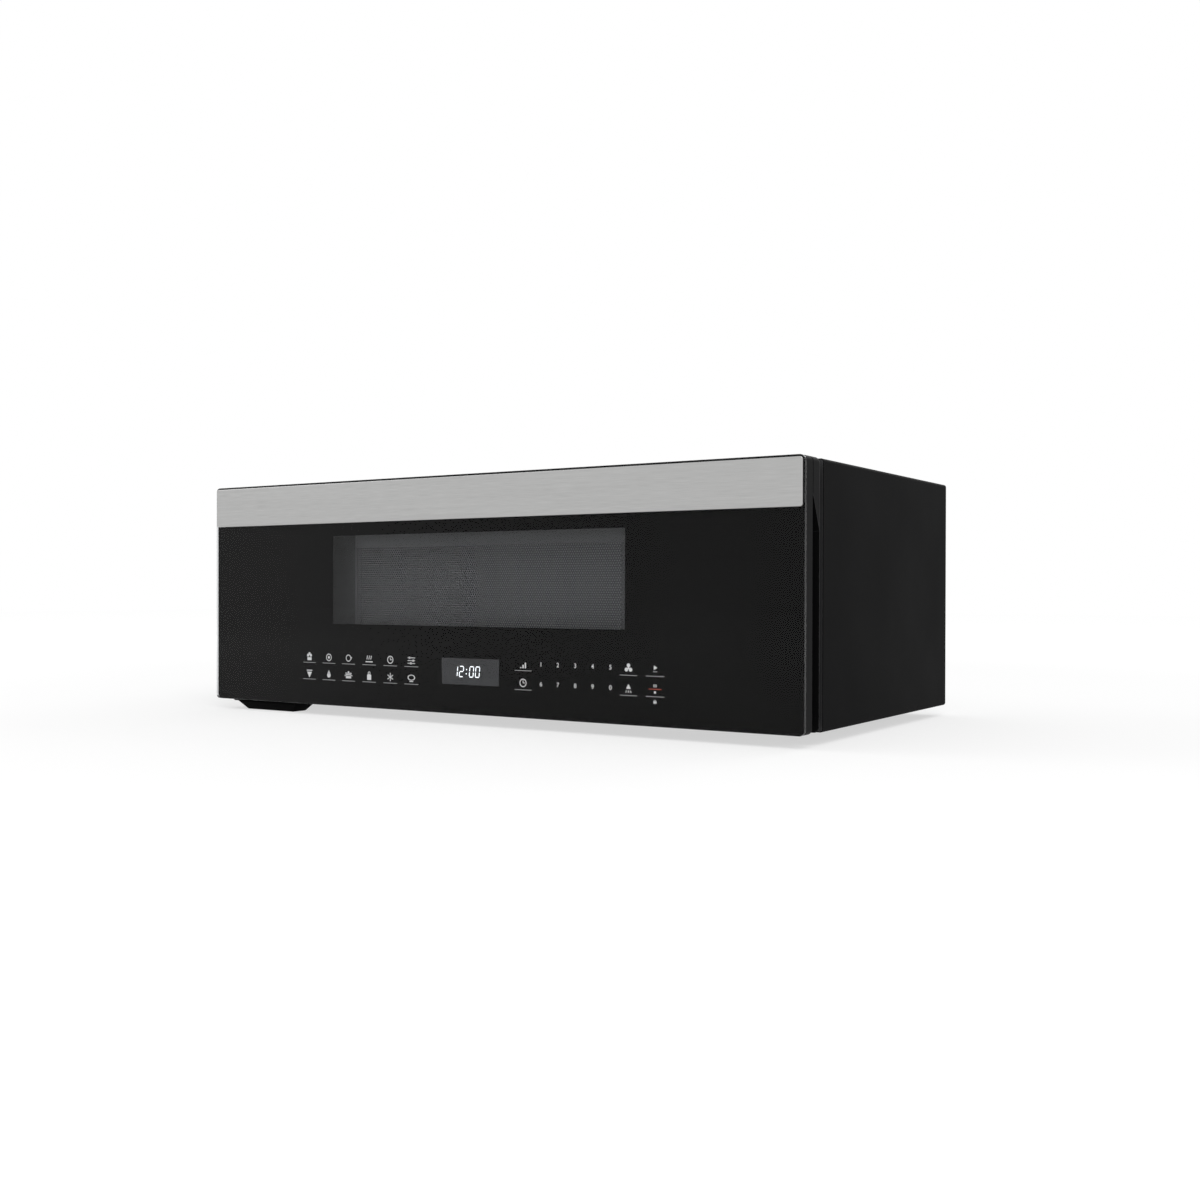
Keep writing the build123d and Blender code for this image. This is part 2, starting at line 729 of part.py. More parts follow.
# ------------------------------------------------------------------ case
def plate_outline():
    """The outline that fits inside the case's wrap."""
    tall = inner_top - case_bottom - SHEET
    return window(2 * inner_x, tall, z=inner_top - tall / 2, radius=CASE_BEND - SHEET)


def stud_holes(radius, front, back):
    """The two holes for the wall studs' screws."""
    z = case_bottom + PLATE_DROP + WALL_HOLE_RISE
    left = rod_y(radius, -STUD_PITCH / 2, z, front, back)
    return left + rod_y(radius, STUD_PITCH / 2, z, front, back)


def outer_case():
    """The steel wrap: roof, sides and lower lips, with a flange for the rear plate."""
    tall = case_top - case_bottom
    mid = (case_top + case_bottom) / 2
    wrap = window(2 * case_x, tall, z=mid, radius=CASE_BEND)
    wrap -= window(2 * inner_x, tall - 2 * SHEET, z=mid, radius=CASE_BEND - SHEET)
    wrap -= window(2 * (inner_x - CASE_LIP), 4 * SHEET, z=case_bottom)
    case = slab(wrap, case_front, rear_back)
    flange = plate_outline()
    clear = inner_top - pan_bottom - 2 * CASE_LIP
    flange -= window(2 * (inner_x - CASE_LIP), clear, z=(inner_top + pan_bottom) / 2)
    case += slab(flange, rear_front - SHEET, rear_front)
    notch_back = case_front + VENT_SETBACK
    case -= block(-VENT_WIDTH / 2, VENT_WIDTH / 2, case_front, notch_back, vent_bottom, case_top)
    case -= exhaust_opening(inner_top, case_top)
    for x in (-TOP_BOLT_SPAN / 2, TOP_BOLT_SPAN / 2):
        case -= disc(TOP_BOLT_R, x, -TOP_BOLT_BACK, inner_top, case_top)
    cord_hole = CORD_R + BUSHING_T + RUN_GAP
    return case - disc(cord_hole, case_x - CORD_X, -CORD_BACK, inner_top, case_top)


def exhaust_opening(low, high, lap=0.0):
    """The duct opening in the roof, or its cover when a lap is given."""
    y = -EXHAUST_BACK - EXHAUST_DEPTH / 2
    shape = Pos(0, y) * Rectangle(EXHAUST_WIDTH + 2 * lap, EXHAUST_DEPTH + 2 * lap)
    return layer(shape, low, high)


def exhaust_cover():
    """The plate that closes the roof's duct opening from inside, stiffened by two flanges."""
    plate = exhaust_opening(inner_top - SHEET, inner_top, EXHAUST_LAP)
    back = -EXHAUST_BACK + EXHAUST_LAP
    front = back - EXHAUST_DEPTH - 2 * EXHAUST_LAP
    half = EXHAUST_WIDTH / 2 + EXHAUST_LAP
    low = inner_top - EXHAUST_LAP
    plate += block(-half, half, front, front + SHEET, low, inner_top)
    return plate + block(-half, half, back - SHEET, back, low, inner_top)


def cabinet_nuts():
    """The two rivet nuts under the roof that take the cabinet's screws."""
    nuts = []
    for x in (-TOP_BOLT_SPAN / 2, TOP_BOLT_SPAN / 2):
        nut = disc(NUT_R, x, -TOP_BOLT_BACK, inner_top - NUT_T, inner_top)
        nuts.append(nut - disc(NUT_BORE, x, -TOP_BOLT_BACK, inner_top - NUT_T, inner_top))
    return nuts


def cord_bushing():
    """The moulded bushing in the roof that the supply cord leaves by."""
    x = case_x - CORD_X
    outer = disc(CORD_R + BUSHING_T, x, -CORD_BACK, case_top - BUSHING_DEPTH, case_top)
    flange_r = CORD_R + BUSHING_T + BUSHING_FLANGE
    outer += disc(flange_r, x, -CORD_BACK, inner_top - BUSHING_T, inner_top)
    return outer - disc(CORD_R, x, -CORD_BACK, case_top - BUSHING_DEPTH, case_top)


def rear_plate():
    """The steel back, slotted for the wall plate's tabs and open at the wall screws."""
    plate = slab(plate_outline(), rear_front, rear_back)
    plate -= stud_holes(HEAD_R, rear_front, rear_back)
    low = case_bottom + PLATE_DROP
    for x in (-TAB_SPAN / 2, TAB_SPAN / 2):
        half = TAB_WIDTH / 2 + TAB_GAP
        plate -= block(x - half, x + half, rear_front, rear_back, low - TAB_GAP, low + TAB_RISE)
    for n in range(-REAR_SLOTS, REAR_SLOTS + 1):
        x = n * REAR_SLOT_PITCH
        for z in (REAR_SLOT_Z, REAR_SLOT_Z - REAR_SLOT_PITCH):
            plate -= slab(Pos(x, z) * SlotOverall(REAR_SLOT_LENGTH, REAR_SLOT_WIDTH), rear_front, rear_back)
    return plate


def wall_plate():
    """The mounting plate: flat on the wall, with two tabs that the unit hangs on."""
    width = 2 * (case_x - PLATE_SIDE)
    low = case_bottom + PLATE_DROP
    sheet = window(width, PLATE_HEIGHT, z=low + PLATE_HEIGHT / 2, radius=PLATE_CORNER)
    cut_z = low + PLATE_HEIGHT - PLATE_BAND - PLATE_CUT_HEIGHT / 2
    for side in (-1, 1):
        for n in range(PLATE_CUTS):
            x = side * (n + 0.5) * (PLATE_CUT_WIDTH + PLATE_BAND)
            sheet -= window(PLATE_CUT_WIDTH, PLATE_CUT_HEIGHT, x, cut_z, PLATE_CORNER)
    plate = slab(sheet, rear_back, 0)
    plate -= stud_holes(WALL_HOLE_R, rear_back, 0)
    hook_front = rear_front - TAB_GAP - PLATE_T
    for x in (-TAB_SPAN / 2, TAB_SPAN / 2):
        half = TAB_WIDTH / 2
        plate += block(x - half, x + half, hook_front, rear_back, low, low + PLATE_T)
        plate += block(x - half, x + half, hook_front, hook_front + PLATE_T, low, low + TAB_RISE - TAB_GAP)
    return plate


def filter_places():
    """Centres of the two grease filters."""
    y = -GREASE_BACK - GREASE_DEPTH / 2
    x = GREASE_IN + GREASE_WIDTH / 2
    return (-x, y), (x, y)


def lens_places():
    """Centres of the two cooktop lamps' lenses."""
    y = case_front + LENS_FRONT + LENS_DEPTH / 2
    return (-LENS_X, y), (LENS_X, y)


def plan(width, depth, place, radius=0.0):
    """A rectangle in X and Y round a centre, rounded where a radius is given."""
    shape = RectangleRounded(width, depth, radius) if radius else Rectangle(width, depth)
    return Pos(*place) * shape


def base_pan():
    """The base: openings for the filters and lenses, with a turned-up front edge."""
    half = inner_x - CASE_BEND
    pan = block(-half, half, frame_back, rear_front - SHEET, pan_bottom, pan_top)
    pan += block(-half, half, frame_back, frame_back + SHEET, pan_top, pan_top + CASE_LIP)
    for place in filter_places():
        opening = plan(GREASE_WIDTH - 2 * LIP, GREASE_DEPTH - 2 * LIP, place)
        pan -= layer(opening, pan_bottom, pan_top)
    for place in lens_places():
        pan -= layer(plan(LENS_WIDTH, LENS_DEPTH, place, LIP), pan_bottom, pan_top)
    return pan


def front_frame():
    """The front plate: cavity mouth, latch slots, vent mouth and side lips."""
    plate = slab(plate_outline(), case_front, frame_back)
    plate -= slab(window(mouth_w, mouth_h, z=mouth_mid, radius=CAVITY_CORNER / 3), case_front, frame_back)
    plate -= block(-VENT_WIDTH / 2, VENT_WIDTH / 2, case_front, frame_back, vent_bottom, inner_top)
    for z in hook_heights():
        plate -= latch_slot(z, case_front, frame_back)
    for side in (-1, 1):
        ends = sorted((side * inner_x, side * (inner_x - SHEET)))
        plate += block(*ends, frame_back, frame_back + FRAME_LIP, pan_top + CASE_LIP, cavity_top)
    return plate


def vent_grille():
    """The hidden vent's moulding: two rails, ribs and tilted slats behind the door's top edge."""
    back = case_front + VENT_SETBACK
    half = VENT_WIDTH / 2 - SEAT_GAP
    low = vent_bottom
    top = case_top - SHEET
    grille = block(-half, half, case_front, back, low, low + GRILLE_WALL)
    grille += block(-half, half, back - GRILLE_WALL, back, top - GRILLE_DEPTH, top)
    side = Polyline(
        (case_front, low),
        (back, low),
        (back, top),
        (back - GRILLE_DEPTH, top),
        (case_front, low + GRILLE_DEPTH),
        close=True,
    )
    step = (2 * half - GRILLE_WALL) / (RIBS - 1)
    for n in range(RIBS):
        left = -half + n * step
        grille += run(make_face(side), left, left + GRILLE_WALL)
    for n in range(1, SLATS + 1):
        share = n / (SLATS + 1)
        y = case_front + GRILLE_DEPTH / 2 + share * (VENT_SETBACK - GRILLE_DEPTH)
        z = low + GRILLE_DEPTH / 2 + share * (VENT_HEIGHT - GRILLE_DEPTH)
        slat = Pos(y, z) * Rot(0, 0, 90 + SLAT_TILT) * Rectangle(GRILLE_DEPTH, SLAT_T)
        grille += run(slat, -half, half)
    return grille


def charcoal_filter():
    """The upright odour filter behind the grille, a frame with a honeycomb of pockets."""
    front = case_front + VENT_SETBACK + GRILLE_WALL
    low = plenum_floor_z + SHEET
    width = 2 * (inner_x - FILTER_SIDE)
    height = inner_top - low - SEAT_GAP
    mid = low + height / 2
    panel = slab(window(width, height, z=mid), front, front + FILTER_T)
    pitch = (width - GREASE_FRAME) / FILTER_CELLS
    cell = pitch - GRILLE_WALL
    tall = (height - GREASE_FRAME - GRILLE_WALL) / 2
    for n in range(FILTER_CELLS):
        x = (n - (FILTER_CELLS - 1) / 2) * pitch
        for z in (mid - tall / 2 - GRILLE_WALL / 2, mid + tall / 2 + GRILLE_WALL / 2):
            panel -= slab(window(cell, tall, x, z), front, front + FILTER_T / 3)
    return panel


def air_deck():
    """The floor of the upper air duct, with the blower's outlet and a mouth for cooling air."""
    top = plenum_floor_z + SHEET
    deck = block(-inner_x, inner_x, frame_back, rear_front - SHEET, plenum_floor_z, top)
    out_y = (blower_front() - BLOWER_BACK) / 2
    depth = -BLOWER_BACK - blower_front() - 2 * BLOWER_WALL
    outlet = plan(OUTLET_WIDTH, depth, (-bay_mid + outlet_shift(), out_y))
    mouth = plan(BAY_MOUTH_WIDTH, BAY_MOUTH, (bay_mid, case_front + BAY_MOUTH_BACK))
    return deck - layer(outlet, plenum_floor_z, top) - layer(mouth, plenum_floor_z, top)


# ------------------------------------------------------------------ cavity and turntable
def oven_cavity():
    """The welded cavity: rounded rear corners, feed window, lamp holes and a shaft hole."""
    shell = block(
        -cavity_x - SHEET,
        cavity_x + SHEET,
        frame_back,
        cavity_back + SHEET,
        cavity_floor - SHEET,
        cavity_top + SHEET,
    )
    shell = fillet(shell.edges().filter_by(Axis.Z).group_by(Axis.Y)[-1], CAVITY_CORNER + SHEET)
    inside = block(-cavity_x, cavity_x, frame_back, cavity_back, cavity_floor, cavity_top)
    inside = fillet(inside.edges().filter_by(Axis.Z).group_by(Axis.Y)[-1], CAVITY_CORNER)
    shell -= inside
    shell -= disc(SHAFT_R + SHAFT_HOLE_GAP, 0, turntable_y, cavity_floor - SHEET, cavity_floor)
    feed = Pos(guide_mid(), GUIDE_Z) * Rectangle(FEED_WIDTH, FEED_HEIGHT)
    shell -= run(feed, cavity_x, cavity_x + SHEET)
    for row in range(LAMP_ROWS):
        for column in range(LAMP_ROWS):
            y = turntable_y + (column - (LAMP_ROWS - 1) / 2) * LAMP_HOLE_PITCH
            z = LAMP_Z + (row - (LAMP_ROWS - 1) / 2) * LAMP_HOLE_PITCH
            hole = Pos(y, z) * Rectangle(LAMP_HOLE, LAMP_HOLE)
            shell -= run(hole, -cavity_x - SHEET, -cavity_x)
    for n in range(-STEAM_SLOTS, STEAM_SLOTS + 1):
        place = (n * 2 * STEAM_SLOT_WIDTH, cavity_back - STEAM_SLOT_BACK)
        slot = plan(STEAM_SLOT_WIDTH, STEAM_SLOT_LENGTH, place)
        shell -= layer(slot, cavity_top, cavity_top + SHEET)
    return shell


def feed_cover():
    """The mica sheet over the feed window, on the cavity's right wall."""
    wide = FEED_WIDTH + MICA_LAP
    sheet = Pos(guide_mid(), GUIDE_Z) * RectangleRounded(wide, FEED_HEIGHT + MICA_LAP, LIP)
    return run(sheet, cavity_x - MICA_T, cavity_x)


def turntable_motor():
    """The synchronous gear motor, hung under the cavity floor by two raised screw ears."""
    top = cavity_floor - SHEET
    face = top - SHEET
    body = disc(MOTOR_R, 0, turntable_y, top - MOTOR_T, face)
    body = chamfer(body.faces().sort_by(Axis.Z)[0].edges(), MOTOR_CHAMFER)
    ears = layer(plan(2 * MOTOR_R + 4 * SCREW_R, 3 * SCREW_R, (0, turntable_y), SCREW_R), face, top)
    ears -= disc(MOTOR_R / 2, 0, turntable_y, face, top)
    boss = disc(SHAFT_R + RUN_GAP + BUSH_T, 0, turntable_y, top - MOTOR_T - BUSH_T, face)
    bore = disc(SHAFT_R + RUN_GAP, 0, turntable_y, top - MOTOR_T + BUSH_T, face)
    return body + ears + boss - bore


def lobe_angles(count):
    """Evenly spread angles for a number of lobes."""
    return [n * 360 / count for n in range(count)]


def ring_of(count, radius, y, piece):
    """Copies of a piece on a circle round the upright axis at a given depth."""
    copies = [Pos(0, y, 0) * Rot(0, 0, angle) * Pos(radius, 0, 0) * piece for angle in lobe_angles(count)]
    whole = copies[0]
    for copy in copies[1:]:
        whole += copy
    return whole


def tray_bottom():
    """Underside of the glass tray, a seat gap over the rollers."""
    return cavity_floor + 2 * ROLLER_R + 2 * SEAT_GAP


def drive_coupler():
    """The three-lobed coupler on the motor's shaft, under the tray."""
    low = tray_bottom() - COUPLER_T - LOBE_T
    hub = disc(COUPLER_R, 0, turntable_y, low, low + COUPLER_T)
    lobe = layer(Circle(LOBE_R), low, low + COUPLER_T + LOBE_T)
    hub += ring_of(ROLLERS, COUPLER_R - LOBE_R / 2, turntable_y, lobe)
    foot = cavity_floor - SHEET - MOTOR_T + BUSH_T + SEAT_GAP
    return hub + disc(SHAFT_R, 0, turntable_y, foot, low)


def glass_tray():
    """The round glass tray, dished to a raised rim, with three drive lugs beneath."""
    low = tray_bottom()
    rise = low + TRAY_RIM
    profile = Polyline(
        (0, low),
        (TRAY_R - 2 * TRAY_RIM, low),
        (TRAY_R, rise),
        (TRAY_R - TRAY_T / 2, rise + TRAY_T / 2),
        (TRAY_R - 2 * TRAY_RIM - TRAY_T / 2, low + TRAY_T),
        (0, low + TRAY_T),
        close=True,
    )
    tray = Pos(0, turntable_y, 0) * revolve(Plane.XZ * make_face(profile), Axis.Z)
    lug = layer(Circle(LOBE_R), low - LOBE_T, low)
    lug_ring = ring_of(ROLLERS, COUPLER_R - LOBE_R / 2, turntable_y, lug)
    lug_ring = Pos(0, turntable_y, 0) * Rot(0, 0, 180 / ROLLERS) * Pos(0, -turntable_y, 0) * lug_ring
    return tray + lug_ring


def axle_height():
    """Height of the roller axles, with the rollers a seat gap over the floor."""
    return cavity_floor + SEAT_GAP + ROLLER_R


def roller_ring():
    """The roller ring: a flat hoop with an axle and an end stop for each roller."""
    mid = axle_height()
    hoop = disc(RING_R + RING_WIDTH / 2, 0, turntable_y, mid - RING_T / 2, mid + RING_T / 2)
    hoop -= disc(RING_R - RING_WIDTH / 2, 0, turntable_y, mid - RING_T / 2, mid + RING_T / 2)
    start = RING_R
    end = ROLLER_AT + ROLLER_WIDTH / 2 + SEAT_GAP
    axle = rod_x(AXLE_R, 0, mid, start, end)
    stop = rod_x(AXLE_R + AXLE_STOP, 0, mid, end, end + BUSH_T)
    shoulder = rod_x(AXLE_R + AXLE_STOP, 0, mid, start, ROLLER_AT - ROLLER_WIDTH / 2 - SEAT_GAP)
    return hoop + ring_of(ROLLERS, 0, turntable_y, axle + stop + shoulder)


def roller(index):
    """One roller, its tread crowned by rounded edges."""
    half = ROLLER_WIDTH / 2
    mid = axle_height()
    wheel = rod_x(ROLLER_R, 0, mid, ROLLER_AT - half, ROLLER_AT + half)
    wheel = fillet(wheel.edges(), ROLLER_WIDTH / 5)
    wheel -= rod_x(AXLE_R + RUN_GAP, 0, mid, ROLLER_AT - half, ROLLER_AT + half)
    angle = lobe_angles(ROLLERS)[index]
    return Pos(0, turntable_y, 0) * Rot(0, 0, angle) * wheel


# ------------------------------------------------------------------ air and light
def blower_front():
    """Front face of the blower's housing."""
    return -BLOWER_BACK - 2 * BLOWER_WALL - 2 * WHEEL_GAP - WHEEL_WIDTH


def volute_reach():
    """The housing's widest radius, which fills the bay."""
    return BAY_WIDTH / 2 - BLOWER_SIDE_GAP


def outlet_shift():
    """Centre of the outlet, beside the wheel on the volute's wide side."""
    return volute_reach() - OUTLET_WIDTH / 2


def blower_level():
    """Height of the wheel's axis, so that the outlet meets the air deck."""
    return plenum_floor_z - volute_reach() - OUTLET_RISE


def volute(inset):
    """The scroll outline: a radius that grows round the wheel, then the outlet."""
    small = WHEEL_R + WHEEL_GAP + BLOWER_WALL - inset
    large = volute_reach() - inset
    quarters = 6
    curve = []
    step = math.pi / quarters
    centre_x = -bay_mid
    z = blower_level()

    def spiral(turn):
        radius = small + (large - small) * turn / (2 * math.pi)
        angle = math.pi - turn + math.pi
        return centre_x + radius * math.cos(angle), z + radius * math.sin(angle)

    for n in range(quarters):
        start = n * 2 * step
        curve.append(ThreePointArc(spiral(start), spiral(start + step), spiral(start + 2 * step)))
    closing = Line(spiral(2 * math.pi), spiral(0))
    scroll = make_face(curve + [closing])
    width = OUTLET_WIDTH - 2 * inset
    rise = plenum_floor_z - z
    outlet = Pos(centre_x + outlet_shift(), z + rise / 2) * Rectangle(width, rise)
    return scroll + outlet


def blower_housing():
    """The vent blower's sheet scroll: inlet at the front, outlet upwards, motor hole behind."""
    front = blower_front()
    body = slab(volute(0), front, -BLOWER_BACK)
    body -= slab(volute(BLOWER_WALL), front + BLOWER_WALL, -BLOWER_BACK - BLOWER_WALL)
    body -= rod_y(INLET_R, -bay_mid, blower_level(), front, front + BLOWER_WALL)
    hole = rod_y(BLOWER_SHAFT_R + BUSH_T, -bay_mid, blower_level(), front, -BLOWER_BACK)
    return body - hole


def blower_motor():
    """The vent motor behind the scroll, bored for the wheel's shaft."""
    z = blower_level()
    end = -BLOWER_BACK + VENT_MOTOR_LENGTH
    body = rod_y(VENT_MOTOR_R, -bay_mid, z, -BLOWER_BACK, end)
    body = fillet(body.faces().sort_by(Axis.Y)[-1].edges(), VENT_MOTOR_R / 6)
    return body - rod_y(BLOWER_SHAFT_R + RUN_GAP, -bay_mid, z, -BLOWER_BACK, end - VENT_MOTOR_R)


def blower_wheel():
    """The bladed drum: back disc, hub and shaft, curved blades and a front ring."""
    z = blower_level()
    x = -bay_mid
    back = -BLOWER_BACK - BLOWER_WALL - WHEEL_GAP
    front = back - WHEEL_WIDTH
    inner = WHEEL_R - BLADE_LENGTH
    drum = rod_y(WHEEL_R, x, z, back - WHEEL_RING_T, back)
    drum += rod_y(2 * BLOWER_SHAFT_R, x, z, back - WHEEL_WIDTH / 3, back)
    ring = rod_y(WHEEL_R, x, z, front, front + WHEEL_RING_T)
    drum += ring - rod_y(WHEEL_R - WHEEL_RING_T, x, z, front, front + WHEEL_RING_T)
    middle = WHEEL_R - BLADE_LENGTH / 2
    arc = Pos(middle, 0) * (Circle(BLADE_BOW) - Circle(BLADE_BOW - BLADE_T))
    blade = arc & (Pos(middle, BLADE_BOW / 2) * Rectangle(BLADE_LENGTH * 2, BLADE_BOW))
    blade &= Circle(WHEEL_R - BLADE_T / 4) - Circle(inner - BLADE_LENGTH / 4)
    blades = [Rot(0, 0, n * 360 / BLADES) * blade for n in range(BLADES)]
    for each in blades:
        drum += slab(Pos(x, z) * each, front + WHEEL_RING_T / 2, back - WHEEL_RING_T / 2)
    shaft_end = -BLOWER_BACK + VENT_MOTOR_LENGTH - VENT_MOTOR_R - SEAT_GAP
    return drum + rod_y(BLOWER_SHAFT_R, x, z, back - WHEEL_WIDTH / 3, shaft_end)


def fan_place():
    """Depths of the magnetron fan's front and back."""
    back = rear_front - SHEET - FAN_CLEAR
    return back - FAN_DEPTH, back


def fan_frame():
    """The square fan frame: a duct, four struts, a bearing and a baffle that fills the bay."""
    front, back = fan_place()
    tip = FAN_FRAME / 2 - BLADE_T * 2
    body = slab(Pos(bay_mid, GUIDE_Z) * RectangleRounded(FAN_FRAME, FAN_FRAME, FAN_CORNER), front, back)
    baffle = Pos(bay_mid, GUIDE_Z) * Rectangle(BAY_WIDTH - 2 * SEAT_GAP, FAN_FRAME + 2 * FAN_CORNER)
    body += slab(baffle, back - BLADE_T, back)
    body -= rod_y(tip, bay_mid, GUIDE_Z, front, back)
    cross = Rectangle(2 * tip + BLADE_T, BLADE_T * 3) + Rectangle(BLADE_T * 3, 2 * tip + BLADE_T)
    body += slab(Pos(bay_mid, GUIDE_Z) * cross, back - FAN_STRUT, back)
    body += rod_y(FAN_HUB_R, bay_mid, GUIDE_Z, back - FAN_STRUT, back)
    return body - rod_y(AXLE_R + RUN_GAP, bay_mid, GUIDE_Z, back - FAN_STRUT, back)


def cooling_fan():
    """The fan rotor: a hub with pitched blades and the stub shaft of its bearing."""
    front, back = fan_place()
    hub_back = back - FAN_STRUT - FAN_TIP_GAP
    tip = FAN_FRAME / 2 - BLADE_T * 2 - FAN_TIP_GAP
    hub = rod_y(FAN_HUB_R, bay_mid, GUIDE_Z, front + FAN_TIP_GAP, hub_back)
    hub = fillet(hub.faces().sort_by(Axis.Y)[0].edges(), BUSH_T)
    depth = hub_back - front - FAN_TIP_GAP
    limits = rod_y(tip, 0, 0, front + FAN_TIP_GAP, hub_back)
    limits -= rod_y(FAN_HUB_R - BLADE_T, 0, 0, front, back)
    mid = (front + FAN_TIP_GAP + hub_back) / 2
    blade = Pos((tip + FAN_HUB_R) / 2, mid, 0) * Rot(FAN_PITCH, 0, 0) * Box(tip, depth * 2, BLADE_T)
    blade &= limits
    for angle in lobe_angles(FAN_BLADES):
        hub += Pos(bay_mid, 0, GUIDE_Z) * Rot(0, angle, 0) * blade
    return hub + rod_y(AXLE_R, bay_mid, GUIDE_Z, hub_back, back)


def grease_filter(place):
    """A grease filter: an aluminium frame round folded mesh, with a pull ring."""
    frame = plan(GREASE_WIDTH, GREASE_DEPTH, place, LIP)
    body = layer(frame, pan_top, pan_top + GREASE_T)
    mesh = plan(GREASE_WIDTH - 2 * GREASE_FRAME, GREASE_DEPTH - 2 * GREASE_FRAME, place)
    body -= layer(mesh, pan_top, pan_top + GREASE_T / 4)
    body -= layer(mesh, pan_top + GREASE_T * 3 / 4, pan_top + GREASE_T)
    ring_y = place[1] - GREASE_DEPTH / 2 + 2 * GREASE_FRAME
    pull = disc(GREASE_PULL_R, place[0], ring_y, pan_bottom, pan_top + GREASE_T / 2)
    return body + pull - disc(GREASE_PULL_R - BUSH_T, place[0], ring_y, pan_bottom, pan_top)


def lamp_lens(place):
    """A cooktop lamp's lens: a window in the base with a flange that rests on it."""
    window_plan = plan(LENS_WIDTH - 2 * SEAT_GAP, LENS_DEPTH - 2 * SEAT_GAP, place, LIP)
    plate = layer(window_plan, pan_bottom, pan_top)
    flange = plan(LENS_WIDTH + 2 * LENS_FLANGE, LENS_DEPTH + 2 * LENS_FLANGE, place, LIP)
    return plate + layer(flange, pan_top, pan_top + LENS_T - SHEET)


def cooktop_lamp(place):
    """A lamp module over its lens: a base plate with a finned back."""
    low = pan_top + LENS_T - SHEET
    body = layer(plan(LENS_WIDTH, LENS_DEPTH, place), low, low + LAMP_T / 2)
    for n in range(-2, 3):
        fin = plan(LENS_WIDTH - 2 * LIP, SHEET, (place[0], place[1] + n * 2 * FIN_PITCH))
        body += layer(fin, low + LAMP_T / 2, low + LAMP_T)
    return body


def oven_lamp():
    """The cavity lamp outside the left wall: a flanged cup, its holder and a bulb socket."""
    start = -cavity_x - SHEET
    cup = rod_x(LAMP_R, turntable_y, LAMP_Z, start - LAMP_R, start)
    cup -= rod_x(LAMP_R - BLOWER_WALL, turntable_y, LAMP_Z, start - LAMP_R + BLOWER_WALL, start)
    socket = rod_x(LAMP_R / 2, turntable_y, LAMP_Z, start - 2 * LAMP_R, start - LAMP_R)
    bulb = rod_x(LAMP_R / 3, turntable_y, LAMP_Z, start - LAMP_R, start - LAMP_R / 3)
    return cup + socket + bulb


# ------------------------------------------------------------------ microwave generator
def guide_mid():
    """Depth of the waveguide's centre."""
    return -GUIDE_BACK - GUIDE_LENGTH / 2


def waveguide():
    """The folded waveguide on the cavity's right wall, open at the feed and the antenna."""
    left = cavity_x + SHEET
    right = left + GUIDE_DEPTH
    outline = Pos(guide_mid(), GUIDE_Z) * Rectangle(GUIDE_LENGTH, GUIDE_HEIGHT)
    inner = Pos(guide_mid(), GUIDE_Z) * Rectangle(GUIDE_LENGTH - 2 * SHEET, GUIDE_HEIGHT - 2 * SHEET)
    box = run(outline, left, right) - run(inner, left, right - SHEET)
    return box - rod_x(ANTENNA_R + SHEET, guide_mid(), GUIDE_Z, right - SHEET, right)


def magnetron():
    """The magnetron: antenna, finned anode inside a steel yoke, and its filter box."""
    left = cavity_x + SHEET + GUIDE_DEPTH
    right = left + YOKE_LENGTH
    y = guide_mid()
    antenna = rod_x(ANTENNA_R, y, GUIDE_Z, left - ANTENNA_LENGTH, left + YOKE_T)
    antenna = fillet(antenna.faces().sort_by(Axis.X)[0].edges(), ANTENNA_R / 3)
    yoke = run(Pos(y, GUIDE_Z) * Rectangle(YOKE_WIDTH, YOKE_HEIGHT), left, right)
    opening = Pos(y, GUIDE_Z) * Rectangle(YOKE_WIDTH, YOKE_HEIGHT - 2 * YOKE_T)
    yoke -= run(opening, left + YOKE_T, right - YOKE_T)
    anode = rod_x(ANODE_R, y, GUIDE_Z, left, right)
    body = antenna + yoke + anode
    pitch = (YOKE_LENGTH - 2 * YOKE_T) / (FINS + 1)
    for n in range(1, FINS + 1):
        x = left + YOKE_T + n * pitch
        body += run(Pos(y, GUIDE_Z) * Rectangle(YOKE_WIDTH - 2 * LIP, YOKE_HEIGHT), x, x + FIN_T)
    lid = Pos(y, GUIDE_Z) * RectangleRounded(YOKE_HEIGHT, YOKE_HEIGHT - 2 * LIP, LIP)
    return body + run(lid, right, right + FILTER_BOX)


def core_front():
    """Front face of the transformer's core, whose coils stay clear of the latch bracket."""
    return bracket_back() + CORE_GAP + COIL_OUT


def transformer_core():
    """The laminated core with two windows and a welded foot plate."""
    front = core_front()
    low = pan_top + SHEET
    mid_z = low + CORE_HEIGHT / 2
    core = slab(window(CORE_WIDTH, CORE_HEIGHT, bay_mid, mid_z), front, front + CORE_DEPTH)
    for side in (-1, 1):
        x = bay_mid + side * CORE_WIDTH / 4
        core -= slab(window(WINDING, CORE_HEIGHT - CORE_WIDTH / 3, x, mid_z), front, front + CORE_DEPTH)
    foot = plan(CORE_WIDTH + 2 * LIP, CORE_DEPTH - 2 * LIP, (bay_mid, front + CORE_DEPTH / 2))
    return core + layer(foot, pan_top, low)


def transformer_windings():
    """The primary and the secondary coil, one over the other round the core's middle leg."""
    low = pan_top + SHEET + CORE_WIDTH / 6
    room = CORE_HEIGHT - CORE_WIDTH / 3
    leg = CORE_WIDTH / 2 - WINDING
    y = core_front() + CORE_DEPTH / 2
    coils = []
    outer = plan(leg + 2 * WINDING - SEAT_GAP, CORE_DEPTH + 2 * COIL_OUT, (bay_mid, y), COIL_OUT)
    inner = plan(leg + SEAT_GAP, CORE_DEPTH + SEAT_GAP, (bay_mid, y))
    levels = (
        (low + SEAT_GAP, low + SEAT_GAP + PRIMARY_HEIGHT),
        (low + SEAT_GAP + PRIMARY_HEIGHT + COIL_GAP, low + room - SEAT_GAP),
    )
    for foot, top in levels:
        coils.append(layer(outer - inner, foot, top))
    return coils


